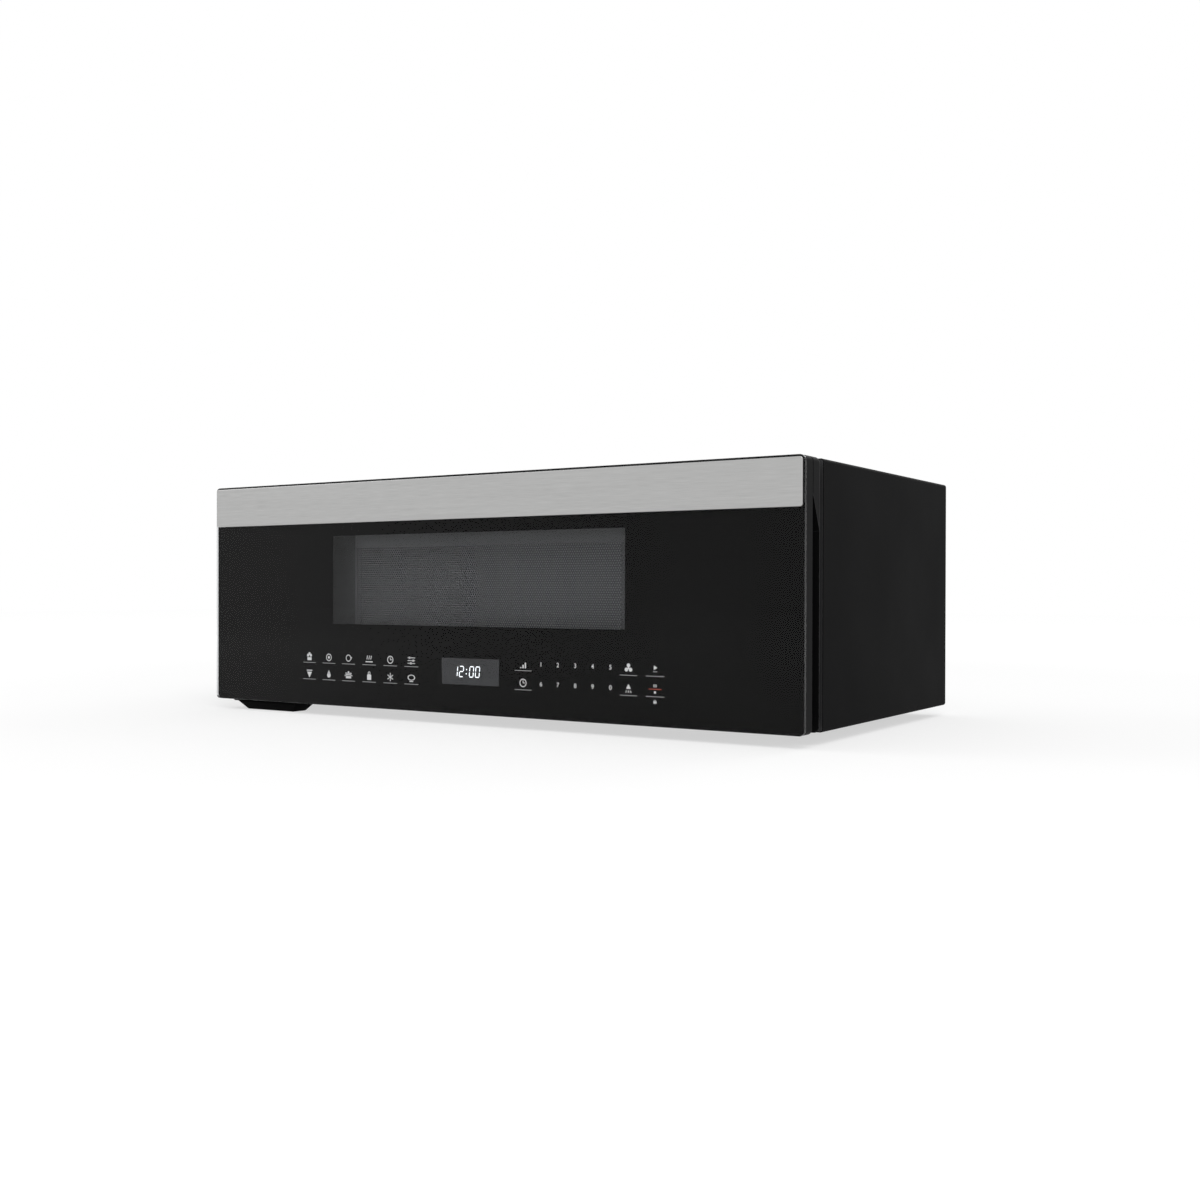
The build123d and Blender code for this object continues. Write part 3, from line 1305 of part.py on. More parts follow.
def capacitor():
    """The oval high-voltage capacitor on the cavity's wall, with its two terminals."""
    left = cavity_x + SHEET
    z = CAN_Z
    outline = Pos(left + CAN_T / 2, z) * Rot(0, 0, 90) * SlotOverall(CAN_WIDTH, CAN_T)
    can = slab(outline, can_front(), can_front() + CAN_LENGTH)
    can = chamfer(can.faces().sort_by(Axis.Y)[-1].edges(), SHEET)
    for side in (-1, 1):
        place = (left + CAN_T / 2, z + side * CAN_WIDTH / 5)
        can += rod_y(BUSH_T, *place, can_front() - 2 * BUSH_T, can_front())
    return can


def can_front():
    """Front face of the capacitor, which stands in front of the waveguide."""
    return -GUIDE_BACK - GUIDE_LENGTH - CAN_GAP - CAN_LENGTH


def high_voltage_diode():
    """The diode between the capacitor's terminal and its earthing lug on the wall."""
    left = cavity_x + SHEET
    z = CAN_Z - CAN_WIDTH / 2 - DIODE_R - BUSH_T
    y = can_front() + DIODE_LENGTH
    body = rod_y(DIODE_R, left + DIODE_R, z, y, y + DIODE_LENGTH)
    lug = block(left, left + SHEET, y + DIODE_LENGTH, y + DIODE_LENGTH + 2 * LIP, z - LIP, z + LIP)
    return body + lug


def power_board():
    """The power board on its standoffs, with relay blocks and a heat sink."""
    wall = -cavity_x - SHEET
    face = wall - STANDOFF
    front = frame_back + FRAME_LIP + LIP
    mid_y = front + POWER_BOARD_LENGTH / 2
    board = run(Pos(mid_y, 0) * Rectangle(POWER_BOARD_LENGTH, POWER_BOARD_HEIGHT), face - BOARD_T, face)
    for dy in (-1, 1):
        for dz in (-1, 1):
            y = mid_y + dy * (POWER_BOARD_LENGTH / 2 - LIP)
            board += rod_x(BUSH_T, y, dz * (POWER_BOARD_HEIGHT / 2 - LIP), face, wall)
    for n in range(RELAYS):
        y = front + 2 * LIP + n * RELAY_PITCH
        foot = -POWER_BOARD_HEIGHT / 2 + LIP
        board += block(face - BOARD_T - RELAY, face - BOARD_T, y, y + RELAY, foot, -LIP)
    sink = block(face - BOARD_T - RELAY, face - BOARD_T, front + LIP, mid_y, LIP, LIP + SHEET * 2)
    return board + sink


def line_filter():
    """The mains filter on the air deck: a board, a wound toroid and a film capacitor."""
    low = plenum_floor_z + SHEET
    place = (case_x - CORD_X, -CORD_BACK - FILTER_BOARD / 2 - 2 * LIP)
    board = layer(plan(FILTER_BOARD, FILTER_BOARD, place), low + LIP, low + LIP + BOARD_T)
    for dx in (-1, 1):
        x = place[0] + dx * (FILTER_BOARD / 2 - LIP)
        board += disc(BUSH_T, x, place[1], low, low + LIP)
    top = low + LIP + BOARD_T
    core = disc(TOROID_R, place[0] - LIP, place[1] - LIP, top, top + TOROID_T)
    core -= disc(TOROID_R / 2, place[0] - LIP, place[1] - LIP, top, top + TOROID_T)
    film = (place[0], place[1] + FILTER_BOARD / 2 - LIP)
    return board + core + layer(plan(FILTER_BOARD / 2, LIP, film), top, top + TOROID_T)


def thermal_cutouts():
    """Two cut-outs: one on the cavity's roof deck, one on the waveguide."""
    deck = plenum_floor_z + SHEET
    y = turntable_y
    first = disc(CUTOUT_R, 0, y, deck, deck + SHEET) + disc(CUTOUT_CAN_R, 0, y, deck, deck + CUTOUT_T)
    face = cavity_x + SHEET + GUIDE_DEPTH
    z = GUIDE_Z + GUIDE_HEIGHT / 2 - CUTOUT_R
    second = rod_x(CUTOUT_R, guide_mid(), z, face, face + SHEET)
    return [first, second + rod_x(CUTOUT_CAN_R, guide_mid(), z, face, face + CUTOUT_T)]


# ------------------------------------------------------------------ interlock and fasteners
def bracket_half():
    """Half the outside width of the latch bracket."""
    return LATCH_SLOT_WIDTH / 2 + BRACKET_WALL


def bracket_back():
    """Back of the latch bracket."""
    return frame_back + HOOK_REACH + HOOK_GAP + BRACKET_WALL


def interlock_bracket():
    """The moulded box behind the latch slots, open to the front, that shields both hooks."""
    low, high = hook_heights()
    reach = LATCH_SLOT_HEIGHT / 2 + LATCH_LIFT
    depth = HOOK_REACH + HOOK_GAP
    inner = block(
        latch_x - LATCH_SLOT_WIDTH / 2,
        latch_x + LATCH_SLOT_WIDTH / 2,
        frame_back,
        frame_back + depth,
        low - reach,
        high + reach,
    )
    outer = block(
        latch_x - bracket_half(),
        latch_x + bracket_half(),
        frame_back,
        bracket_back(),
        low - reach - BRACKET_WALL,
        high + reach + BRACKET_WALL,
    )
    return outer - inner


def interlock_switches():
    """Three microswitches against the bracket: two at the upper hook, one at the lower."""
    low, high = hook_heights()
    front = frame_back + BUSH_T
    switches = []
    for side, z in ((1, high), (-1, high), (1, low)):
        near = latch_x + side * bracket_half()
        ends = sorted((near, near + side * SWITCH_WIDTH))
        foot = z - SWITCH_HEIGHT / 2
        body = block(*ends, front, front + SWITCH_DEPTH, foot, foot + SWITCH_HEIGHT)
        x = sum(ends) / 2
        for leg in (1, 3):
            y = front + leg * SWITCH_DEPTH / 4
            body += block(x - SHEET, x + SHEET, y - SHEET, y + SHEET, foot - SWITCH_LEG, foot)
        switches.append(body)
    return switches


def screw_y(x, z, face):
    """A pan-head screw into a plate from behind."""
    head = rod_y(SCREW_R, x, z, face, face + SCREW_HEAD)
    return fillet(head.faces().sort_by(Axis.Y)[-1].edges(), SCREW_CROWN)


def rear_screws():
    """The screws that close the rear plate, outside the wall plate's outline."""
    x = inner_x - CASE_LIP / 2
    screws = []
    for side in (-1, 1):
        for n in range(-1, 2):
            z = n * (half_h - 2 * CASE_LIP)
            screws.append(screw_y(side * x, z, rear_back))
    return screws


def door_screws():
    """The screws in the door's back that hold the choke panel to the moulding."""
    return [screw_y(x, z, door_back - SCREW_HEAD) for x, z in door_screw_places()]


def door_screw_places():
    """Places of the screws in X and Z, beside the choke."""
    x = cavity_x + CHOKE_LAP + 2 * SCREW_R
    low = mouth_mid - mouth_h / 3
    high = mouth_mid + mouth_h / 3
    return (-x, low), (-x, high), (x, low), (x, high)


# ------------------------------------------------------------------ writing
PIECES = {
    "trim_strip": trim_strip(),
    "door_glass": door_glass(),
    "glass_print": glass_print(),
    "door_bezel": door_bezel(),
    "door_rear_cover": door_rear_cover(),
    "hinge_bushes": hinge_bushes(),
    "choke_panel": choke_panel(),
    "window_screen": window_screen(),
    "choke_cover": choke_cover(),
    "inner_pane": inner_pane(),
    "touch_board": touch_board(),
    "display_module": display_module(),
    "door_latch": door_latch(),
    "latch_spring": latch_spring(),
    "upper_hinge": upper_hinge(),
    "lower_hinge": lower_hinge(),
    "hinge_cover": hinge_cover(),
    "outer_case": outer_case(),
    "rear_plate": rear_plate(),
    "wall_plate": wall_plate(),
    "base_pan": base_pan(),
    "front_frame": front_frame(),
    "vent_grille": vent_grille(),
    "charcoal_filter": charcoal_filter(),
    "air_deck": air_deck(),
    "exhaust_cover": exhaust_cover(),
    "cabinet_nuts": cabinet_nuts(),
    "cord_bushing": cord_bushing(),
    "oven_cavity": oven_cavity(),
    "feed_cover": feed_cover(),
    "turntable_motor": turntable_motor(),
    "drive_coupler": drive_coupler(),
    "glass_tray": glass_tray(),
    "roller_ring": roller_ring(),
    "blower_housing": blower_housing(),
    "blower_motor": blower_motor(),
    "blower_wheel": blower_wheel(),
    "fan_frame": fan_frame(),
    "cooling_fan": cooling_fan(),
    "grease_filter_left": grease_filter(filter_places()[0]),
    "grease_filter_right": grease_filter(filter_places()[1]),
    "lamp_lenses": [lamp_lens(place) for place in lens_places()],
    "cooktop_lamps": [cooktop_lamp(place) for place in lens_places()],
    "oven_lamp": oven_lamp(),
    "waveguide": waveguide(),
    "magnetron": magnetron(),
    "transformer_core": transformer_core(),
    "transformer_windings": transformer_windings(),
    "capacitor": capacitor(),
    "high_voltage_diode": high_voltage_diode(),
    "power_board": power_board(),
    "line_filter": line_filter(),
    "thermal_cutouts": thermal_cutouts(),
    "interlock_bracket": interlock_bracket(),
    "interlock_switches": interlock_switches(),
    "rear_screws": rear_screws(),
    "door_screws": door_screws(),
}
for index in range(ROLLERS):
    PIECES[f"roller_{index + 1}"] = roller(index)

os.makedirs("parts", exist_ok=True)
for name, piece in PIECES.items():
    solids = piece if isinstance(piece, list) else [piece]
    whole = Compound(children=[solid for part in solids for solid in part.solids()])
    export_step(whole, f"parts/{name}.step")
    print(name, len(whole.solids()))
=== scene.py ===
# %% [markdown]
# # A low-profile over-the-range microwave
#
# The real object is a flat steel box that hangs under a kitchen cabinet, above the cooktop. Its whole front
# is one door: a black glass pane with a brushed steel strip across its top, a window, a clock and touch keys.
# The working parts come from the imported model, which is the fixed frame of this scene. What is made here is
# the finish of every surface, and what the frame leaves out or holds as plain bulk: the printed marks, the
# clock's digits, the holes of the window's screen, the screw heads, the taper of the hinge cover, the latch's
# spring and the lattice of the grease filters. Each step says what the thing is, how it could be made, and
# why it is made this way.

# %% Load the frame
import math

import bmesh
import bpy
from mathutils import Matrix, Vector


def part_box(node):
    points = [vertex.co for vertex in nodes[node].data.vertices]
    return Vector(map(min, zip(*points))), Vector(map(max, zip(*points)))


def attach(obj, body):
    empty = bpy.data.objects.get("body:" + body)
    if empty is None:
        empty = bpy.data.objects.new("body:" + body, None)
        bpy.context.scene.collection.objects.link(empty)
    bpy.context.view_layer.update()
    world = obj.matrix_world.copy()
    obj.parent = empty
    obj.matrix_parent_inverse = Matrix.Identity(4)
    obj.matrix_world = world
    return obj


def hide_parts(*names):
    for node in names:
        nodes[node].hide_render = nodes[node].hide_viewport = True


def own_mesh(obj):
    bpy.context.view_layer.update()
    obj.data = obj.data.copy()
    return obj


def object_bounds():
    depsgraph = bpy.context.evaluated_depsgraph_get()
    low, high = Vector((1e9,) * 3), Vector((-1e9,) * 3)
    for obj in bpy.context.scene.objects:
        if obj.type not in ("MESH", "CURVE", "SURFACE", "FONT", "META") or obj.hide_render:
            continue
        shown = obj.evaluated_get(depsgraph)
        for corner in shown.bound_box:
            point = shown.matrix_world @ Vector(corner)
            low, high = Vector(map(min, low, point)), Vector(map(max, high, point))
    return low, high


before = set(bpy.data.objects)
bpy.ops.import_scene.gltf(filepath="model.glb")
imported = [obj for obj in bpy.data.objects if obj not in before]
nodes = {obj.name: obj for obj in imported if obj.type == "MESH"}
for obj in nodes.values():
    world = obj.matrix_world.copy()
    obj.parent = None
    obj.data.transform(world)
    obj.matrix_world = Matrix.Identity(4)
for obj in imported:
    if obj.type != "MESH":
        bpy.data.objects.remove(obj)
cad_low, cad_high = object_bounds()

MM = 0.001
scene = bpy.context.scene
print("size in mm", [round((high - low) / MM, 1) for low, high in zip(cad_low, cad_high)])

# %% [markdown]
# ## The camera
#
# The photograph was taken from the right of the oven, at the height of its door. A camera could be aimed by
# eye, but then no edge would fall where it does in the photograph. Here it stands where the door's four front
# corners and its side edge fall on the photographed ones: 1.2 m off to the right of the middle, turned 33
# degrees to the left, and almost level. It is written as three turns, so that its axes can be worked out.

# %% Camera
EYE = Vector((0.8515, -1.4686, 0.0032))
TURN = math.radians(32.68)
TILT = math.radians(-0.38)
ROLL = math.radians(0.11)
LENS = 39.285
FULL_FRAME = 36.0

level = Vector((math.cos(TURN), math.sin(TURN), 0))
ahead = Vector((-math.sin(TURN) * math.cos(TILT), math.cos(TURN) * math.cos(TILT), math.sin(TILT)))
upright = level.cross(ahead)
right = level * math.cos(ROLL) + upright * math.sin(ROLL)
up = upright * math.cos(ROLL) - level * math.sin(ROLL)

camera = bpy.data.objects.new("camera", bpy.data.cameras.new("camera"))
scene.collection.objects.link(camera)
camera.matrix_world = Matrix.Translation(EYE) @ Matrix((right, up, -ahead)).transposed().to_4x4()
camera.data.lens = LENS
camera.data.sensor_width = FULL_FRAME
scene.camera = camera
scene.view_settings.view_transform = "Standard"
print("camera looks along", [round(c, 3) for c in ahead])

# %% [markdown]
# ## Floor and background
#
# The oven needs a plain pale place to stand in. A bright lamp on a grey floor would wash out the oven too.
# Instead the world and the floor show plain white to the camera, to mirrors and through clear panes, while
# the light that they send onto the oven stays moderate. Light Path tells the two kinds of ray apart. The
# floor is only partly white by itself: the rest is ordinary white paint, which still takes the oven's shadow.
# Far away, out of the lamps' reach, it glows a little more, so that its edge doesn't show. The real oven
# hangs, and people look up at its filters and lights, so the floor is clear from below.

# %% Node helpers
def feed(tree, socket, value):
    """Joins an input to another node's output, or gives it a plain value."""
    if isinstance(value, bpy.types.NodeSocket):
        tree.links.new(value, socket)
    elif socket.type == "RGBA":
        socket.default_value = (*value, 1)
    else:
        socket.default_value = value


def put(tree, node, *values, **labelled):
    """Fills a node's inputs, by their order or by their labels; an underscore stands for a space."""
    for place, value in enumerate(values):
        feed(tree, node.inputs[place], value)
    for label, value in labelled.items():
        feed(tree, node.inputs[label.replace("_", " ")], value)
    return node


def new_node(tree, kind, *values, **labelled):
    """A new shader node with its inputs filled."""
    return put(tree, tree.nodes.new("ShaderNode" + kind), *values, **labelled)


def sum_up(tree, operation, *values):
    """A Math node fed by sockets or plain numbers; gives its output."""
    node = tree.nodes.new("ShaderNodeMath")
    node.operation = operation
    return put(tree, node, *values).outputs[0]


def vector_sum(tree, operation, *vectors):
    """A Vector Math node fed by sockets; gives its outputs."""
    node = tree.nodes.new("ShaderNodeVectorMath")
    node.operation = operation
    return put(tree, node, *vectors).outputs


def object_place(tree):
    """Where a point lies on the object, in metres."""
    return new_node(tree, "TexCoord").outputs["Object"]


def seen_directly(tree):
    """One where the camera, a mirror or a clear pane looks, and nought for light that falls on things."""
    rays = new_node(tree, "LightPath").outputs
    mirrored = sum_up(tree, "MAXIMUM", rays["Is Camera Ray"], rays["Is Glossy Ray"])
    return sum_up(tree, "MAXIMUM", mirrored, rays["Is Transmission Ray"])


def mix_shaders(tree, factor, first, second):
    """Mixes two shaders by a factor and shows the result; gives its output."""
    mixed = new_node(tree, "MixShader", factor, first, second).outputs[0]
    put(tree, tree.nodes["Material Output"], Surface=mixed)
    return mixed


SHADER = "Principled BSDF"  # what a new material's shader is called


def new_material(name):
    """A new node material; gives it with its tree."""
    material = bpy.data.materials.new(name)
    material.use_nodes = True
    return material, material.node_tree


# %% World
WORLD_LIGHT = 0.62
WHITE = (1, 1, 1)

world = bpy.data.worlds.new("plain room")
scene.world = world
world.use_nodes = True
tree = world.node_tree
strength = sum_up(tree, "MULTIPLY_ADD", seen_directly(tree), 1 - WORLD_LIGHT, WORLD_LIGHT)
put(tree, tree.nodes["Background"], Color=WHITE, Strength=strength)

# %% Floor
FLOOR_SIZE = 14.0
FLOOR_GAP = 0.2 * MM
FLOOR_PAINT = (0.86, 0.86, 0.86)
FLOOR_WHITE = 0.5
NEAR, NEAR_GLOW = 0.8, 1.2
FAR, FAR_GLOW = 2.6, 1.45

bpy.ops.object.select_all(action="DESELECT")
bpy.ops.mesh.primitive_plane_add(size=FLOOR_SIZE, location=(0, 0, cad_low.z - FLOOR_GAP))
floor = bpy.context.object
floor.name = "floor"
material, tree = new_material("white floor")
shader = put(tree, tree.nodes[SHADER], Base_Color=FLOOR_PAINT, Roughness=0.9, Specular_IOR_Level=0.0)
brighten = tree.nodes.new("ShaderNodeMapRange")
brighten.interpolation_type = "SMOOTHSTEP"
distance = vector_sum(tree, "LENGTH", object_place(tree))["Value"]
put(tree, brighten, distance, NEAR, FAR, NEAR_GLOW, FAR_GLOW)
glow = new_node(tree, "Emission", Color=WHITE, Strength=brighten.outputs[0])
own_white = sum_up(tree, "MULTIPLY", seen_directly(tree), FLOOR_WHITE)
from_above = mix_shaders(tree, own_white, shader.outputs[0], glow.outputs[0])
from_below = new_node(tree, "BsdfTransparent").outputs[0]
mix_shaders(tree, new_node(tree, "NewGeometry").outputs["Backfacing"], from_above, from_below)
floor.data.materials.append(material)
print("floor", FLOOR_SIZE, "m wide, at", round(floor.location.z / MM, 1), "mm")

# %% [markdown]
# ## Lamps
#
# Three broad, soft lamps, as in a small studio. The key stands high on the right in front, so that the door's
# rounded edges catch a line of light. A weaker one fills in from the left, and one behind keeps the back from
# going black. None stands where the black glass would mirror it into the camera. Their light goes straight
# through a pane, as shadows do, and not a second time by refraction, which would only add bright specks.

# %% Lamps
def soft_lamp(name, place, size, power):
    """A square lamp of a given edge, aimed at the oven's middle."""
    lamp = bpy.data.objects.new(name, bpy.data.lights.new(name, "AREA"))
    lamp.data.shape = "SQUARE"
    lamp.data.size = size
    lamp.data.energy = power
    lamp.location = place
    aim = (cad_low + cad_high) / 2 - Vector(place)
    lamp.rotation_euler = aim.to_track_quat("-Z", "Y").to_euler()
    lamp.visible_transmission = False
    scene.collection.objects.link(lamp)


soft_lamp("key lamp", (1.5, -1.9, 2.1), 1.4, 26)
soft_lamp("fill lamp", (-2.4, -1.2, 1.6), 1.6, 14)
soft_lamp("back lamp", (0.6, 2.4, 2.0), 1.6, 14)

# %% [markdown]
# ## Shared effects
#
# Several finishes share the same small flaws. Each is a node group, made once and placed in a material with
# its own values. A group only gives values: the shader stays in the material.
# - *grain*: the fine tooth of moulded plastic, powder paint or enamel, and a slow cloud of tone over it
# - *brushing*: long parallel scratches, drawn out along one direction
# - *edge wear and sheen*: lighter outer edges, partly scuffs and partly a painted highlight where a rounded
#   edge would catch the lamps. A Bevel node gives a softened normal, and where that differs from the true one,
#   there is an edge
# - *dust*: a thin veil on what faces up
# - *spangle*: the large crystals of galvanised steel

# %% Group helpers
def effect_group(name, outputs, **inputs):
    """A node group; gives it with its input values and with the node that takes what it puts out."""
    group = bpy.data.node_groups.new(name, "ShaderNodeTree")
    for label, value in inputs.items():
        kind = "NodeSocketVector" if isinstance(value, tuple) else "NodeSocketFloat"
        group.interface.new_socket(name=label, in_out="INPUT", socket_type=kind).default_value = value
    for label in outputs:
        group.interface.new_socket(name=label, in_out="OUTPUT", socket_type="NodeSocketFloat")
    return group, group.nodes.new("NodeGroupInput").outputs, group.nodes.new("NodeGroupOutput")


def noise_in(tree, vector, scale, detail=2.0):
    """A noise texture read at a vector; gives its 0 to 1 value."""
    return new_node(tree, "TexNoise", Vector=vector, Scale=scale, Detail=detail).outputs[0]


# %% Grain
grain, given, result = effect_group("grain", ("Height", "Tone"), Scale=900.0)
place = object_place(grain)
put(grain, result, Height=noise_in(grain, place, given["Scale"]), Tone=noise_in(grain, place, 9.0, 4.0))

# %% Brushing
brushing, given, result = effect_group("brushing", ("Lines", "Bands"), Stretch=(30.0, 4000.0, 4000.0))
drawn_out = vector_sum(brushing, "MULTIPLY", object_place(brushing), given["Stretch"])["Vector"]
scratches, bands = noise_in(brushing, drawn_out, 1.0, 3.0), noise_in(brushing, drawn_out, 0.12, 1.0)
put(brushing, result, Lines=scratches, Bands=bands)

# %% Edge wear
EDGE_SAMPLES = 6
EDGE_GAIN = 8.0

# Lighter edges: partly scuffs, partly a painted highlight where a rounded edge would catch the lamps' light.
wear_and_sheen, given, result = effect_group("edge wear", ("Mask",), Width=1.0 * MM, Amount=0.5)
rounded = new_node(wear_and_sheen, "Bevel", Radius=given["Width"])
rounded.samples = EDGE_SAMPLES
true_normal = new_node(wear_and_sheen, "NewGeometry").outputs["True Normal"]
alike = vector_sum(wear_and_sheen, "DOT_PRODUCT", rounded.outputs[0], true_normal)["Value"]
edge = sum_up(wear_and_sheen, "MULTIPLY", sum_up(wear_and_sheen, "SUBTRACT", 1.0, alike), EDGE_GAIN)
patches = noise_in(wear_and_sheen, object_place(wear_and_sheen), 60.0, 5.0)
worn_and_lit = sum_up(wear_and_sheen, "MULTIPLY", sum_up(wear_and_sheen, "MINIMUM", edge, 1.0), patches)
put(wear_and_sheen, result, Mask=sum_up(wear_and_sheen, "MULTIPLY", worn_and_lit, given["Amount"]))

# %% Dust
dust, given, result = effect_group("dust", ("Mask",), Amount=0.3)
facing = new_node(dust, "SeparateXYZ", new_node(dust, "NewGeometry").outputs["Normal"])
upward = sum_up(dust, "MAXIMUM", facing.outputs["Z"], 0.0)
cloud = noise_in(dust, object_place(dust), 25.0, 6.0)
veil = sum_up(dust, "MULTIPLY", upward, cloud)
put(dust, result, Mask=sum_up(dust, "MULTIPLY", veil, given["Amount"]))

# %% Spangle
spangle, given, result = effect_group("spangle", ("Tone",), Scale=120.0)
crystals = new_node(spangle, "TexVoronoi", Vector=object_place(spangle), Scale=given["Scale"])
put(spangle, result, Tone=new_node(spangle, "SeparateColor", crystals.outputs["Color"]).outputs["Red"])
print("effects", [g.name for g in bpy.data.node_groups])

# %% [markdown]
# ## One recipe for plain finishes
#
# Paint, moulded plastic and sheet metal differ in colour, gloss and grain, but are built alike: a tone that
# drifts a little over the surface, lighter edges (partly scuffs, partly a painted highlight) and dust mixed
# over it, a roughness that follows the same cloud, and a fine relief. One function makes them all, so that no
# surface is a single flat colour. What is the same all over, such as how strongly a paint mirrors, is set on
# the shader itself.

# %% Material helpers
def place_group(tree, group, **values):
    """Puts an effect into a material with its own values; gives its outputs."""
    node = tree.nodes.new("ShaderNodeGroup")
    node.node_tree = group
    return put(tree, node, **values).outputs


def blend_colour(tree, factor, low, high):
    """Mixes two colours, each a plain colour or a socket, by a factor."""
    mix = tree.nodes.new("ShaderNodeMix")
    mix.data_type = "RGBA"
    for place, value in ((0, factor), (6, low), (7, high)):  # the places of the sockets for colours
        feed(tree, mix.inputs[place], value)
    return mix.outputs[2]


def shade(colour, factor):
    """A colour made lighter or darker."""
    return tuple(min(1.0, c * factor) for c in colour)


def drift(tree, factor, colour, low, high):
    """A colour that drifts between a darker and a lighter shade of itself."""
    return blend_colour(tree, factor, shade(colour, low), shade(colour, high))


def fill_shader(material, colours, roughness, height, strength, distance=0.1 * MM, **same_all_over):
    """Gives a shader its colour and relief, a roughness that follows a 0 to 1 value, and its plain values."""
    tree = material.node_tree
    value, low, high = roughness
    follows = sum_up(tree, "MULTIPLY_ADD", value, high - low, low)
    bump = new_node(tree, "Bump", Strength=strength, Distance=distance, Height=height).outputs[0]
    put(tree, tree.nodes[SHADER], Base_Color=colours, Roughness=follows, Normal=bump, **same_all_over)
    return material


DUST = (0.42, 0.41, 0.39)


def plain_finish(name, colour, rough, metal=0.0, tooth=900.0, depth=0.15, tone=0.12, worn_and_lit_edge=None, dusty=0.0,
                 mirror=0.5, edge=0.8 * MM, wear_and_sheen_amount=0.5):
    """Paint, plastic, enamel or sheet metal: drifting tone, lighter edges (scuffs and a painted highlight),
    dust, fine tooth.
    """
    material, tree = new_material(name)
    fine = place_group(tree, grain, Scale=tooth)
    colours = drift(tree, fine["Tone"], colour, 1 - tone, 1 + tone)
    # Edges are mixed towards a lighter colour: scuffs, and a painted highlight along them.
    if worn_and_lit_edge:
        mask = place_group(tree, wear_and_sheen, Width=edge, Amount=wear_and_sheen_amount)["Mask"]
        colours = blend_colour(tree, mask, colours, worn_and_lit_edge)
    if dusty:
        colours = blend_colour(tree, place_group(tree, dust, Amount=dusty)["Mask"], colours, DUST)
    roughness = (fine["Tone"], rough * 0.85, min(1.0, rough * 1.15))
    return fill_shader(material, colours, roughness, fine["Height"], depth, Metallic=metal,
                       Specular_IOR_Level=mirror)


dressed = set()


def dress(material, *names):
    """Gives a finish to nodes of the frame, in their own material slots."""
    for name in names:
        piece = nodes[name]
        if not piece.material_slots:
            piece.data.materials.append(material)
        for slot in piece.material_slots:
            slot.material = material
        dressed.add(name)


# %% [markdown]
# ## The black glass door
#
# The pane is clear toughened glass with black ink fired onto its back, so it mirrors softly at its front and
# is black in depth. It could be one black glossy block, but then the window and the clock would need painting
# on. Here the pane is real clear glass, the ink lies behind it, and light for shadows passes through, so that
# the screen behind the window is lit. The window's tint is in the pane. Real glass has an index of refraction
# of 1.5, which in a white studio mirrors more light than the dim kitchen of the photograph does, so the index
# is lower here, and the door stays as black as it looks there.

# %% Glass
def clear_glass(name, tint, index, rough=0.0):
    """A clear pane that lets lamps through: glass for what looks through it, nothing for shadows."""
    material, tree = new_material(name)
    smear = place_group(tree, grain, Scale=14.0)
    shader = put(tree, tree.nodes[SHADER], Base_Color=drift(tree, smear["Height"], tint, 0.97, 1.0),
                 Roughness=rough, Transmission_Weight=1.0, IOR=index)
    open_pane = new_node(tree, "BsdfTransparent", tint).outputs[0]
    mix_shaders(tree, new_node(tree, "LightPath").outputs["Is Shadow Ray"], shader.outputs[0], open_pane)
    return material


DOOR_INDEX = 1.23
INNER_INDEX = 1.25
INK_BLACK = (0.006, 0.006, 0.0062)

dress(clear_glass("door glass", (0.86, 0.87, 0.88), DOOR_INDEX), "door_glass")
dress(clear_glass("inner pane glass", (0.95, 0.96, 0.96), INNER_INDEX), "inner_pane")
dress(plain_finish("black ink", INK_BLACK, 0.6, tooth=40, depth=0.01, tone=0.3, mirror=0.02), "glass_print")

# %% [markdown]
# ## The brushed strip
#
# A strip of stainless steel is glued across the top of the glass. It is brushed lengthwise, so its scratches
# run along the door and spread its reflections up and down. The scratches are stretched noise: short across,
# long along the strip. They change the tone, the roughness and the relief together, as real ones do.

# %% Brushed steel
def brushed_steel(name, colour, stretch, rough, contrast):
    """Steel with scratches drawn out along one direction."""
    material, tree = new_material(name)
    lines = place_group(tree, brushing, Stretch=stretch)
    tone = sum_up(tree, "MULTIPLY_ADD", lines["Bands"], 0.2, sum_up(tree, "MULTIPLY", lines["Lines"], 0.8))
    colours = drift(tree, tone, colour, 1 - contrast, 1 + contrast)
    # The strip's edges and rounded ends are painted nearly white: a painted highlight, as if they caught the
    # lamp.
    mask = place_group(tree, wear_and_sheen, Width=0.5 * MM, Amount=0.9)["Mask"]
    colours = blend_colour(tree, mask, colours, (0.95, 0.95, 0.95))
    roughness = (lines["Lines"], rough - 0.08, rough + 0.1)
    return fill_shader(material, colours, roughness, lines["Lines"], 0.25, 0.05 * MM, Metallic=1.0)


dress(brushed_steel("brushed steel", (0.44, 0.44, 0.436), (45.0, 3200.0, 3200.0), 0.36, 0.3), "trim_strip")

# %% [markdown]
# ## Mouldings and painted steel
#
# The door's two mouldings, the grille and the hinge cover are black plastic with a satin tooth. The case is
# black powder paint on steel, a little rougher, with a trace of dust on its roof. Inside, the front plate is
# painted dark grey, and the cavity is a pale grey enamel with the fine speckle that such enamel has.

# %% Outside finishes
BLACK = (0.005, 0.005, 0.0052)
# The lighter colour that black parts take at their edges: scuffs, and a faint painted highlight.
WORN_AND_LIT_GREY = (0.05, 0.05, 0.05)
HINGE_BLACK = (0.02, 0.02, 0.021)

# The mouldings' edges get thin lines of painted highlight, much lighter than the black.
dress(plain_finish("black moulding", BLACK, 0.42, tooth=1500, depth=0.25, worn_and_lit_edge=(0.16, 0.16, 0.165),
                   mirror=0.02, edge=0.7 * MM, wear_and_sheen_amount=1.0),
      "door_bezel", "door_rear_cover", "hinge_cover", "vent_grille")
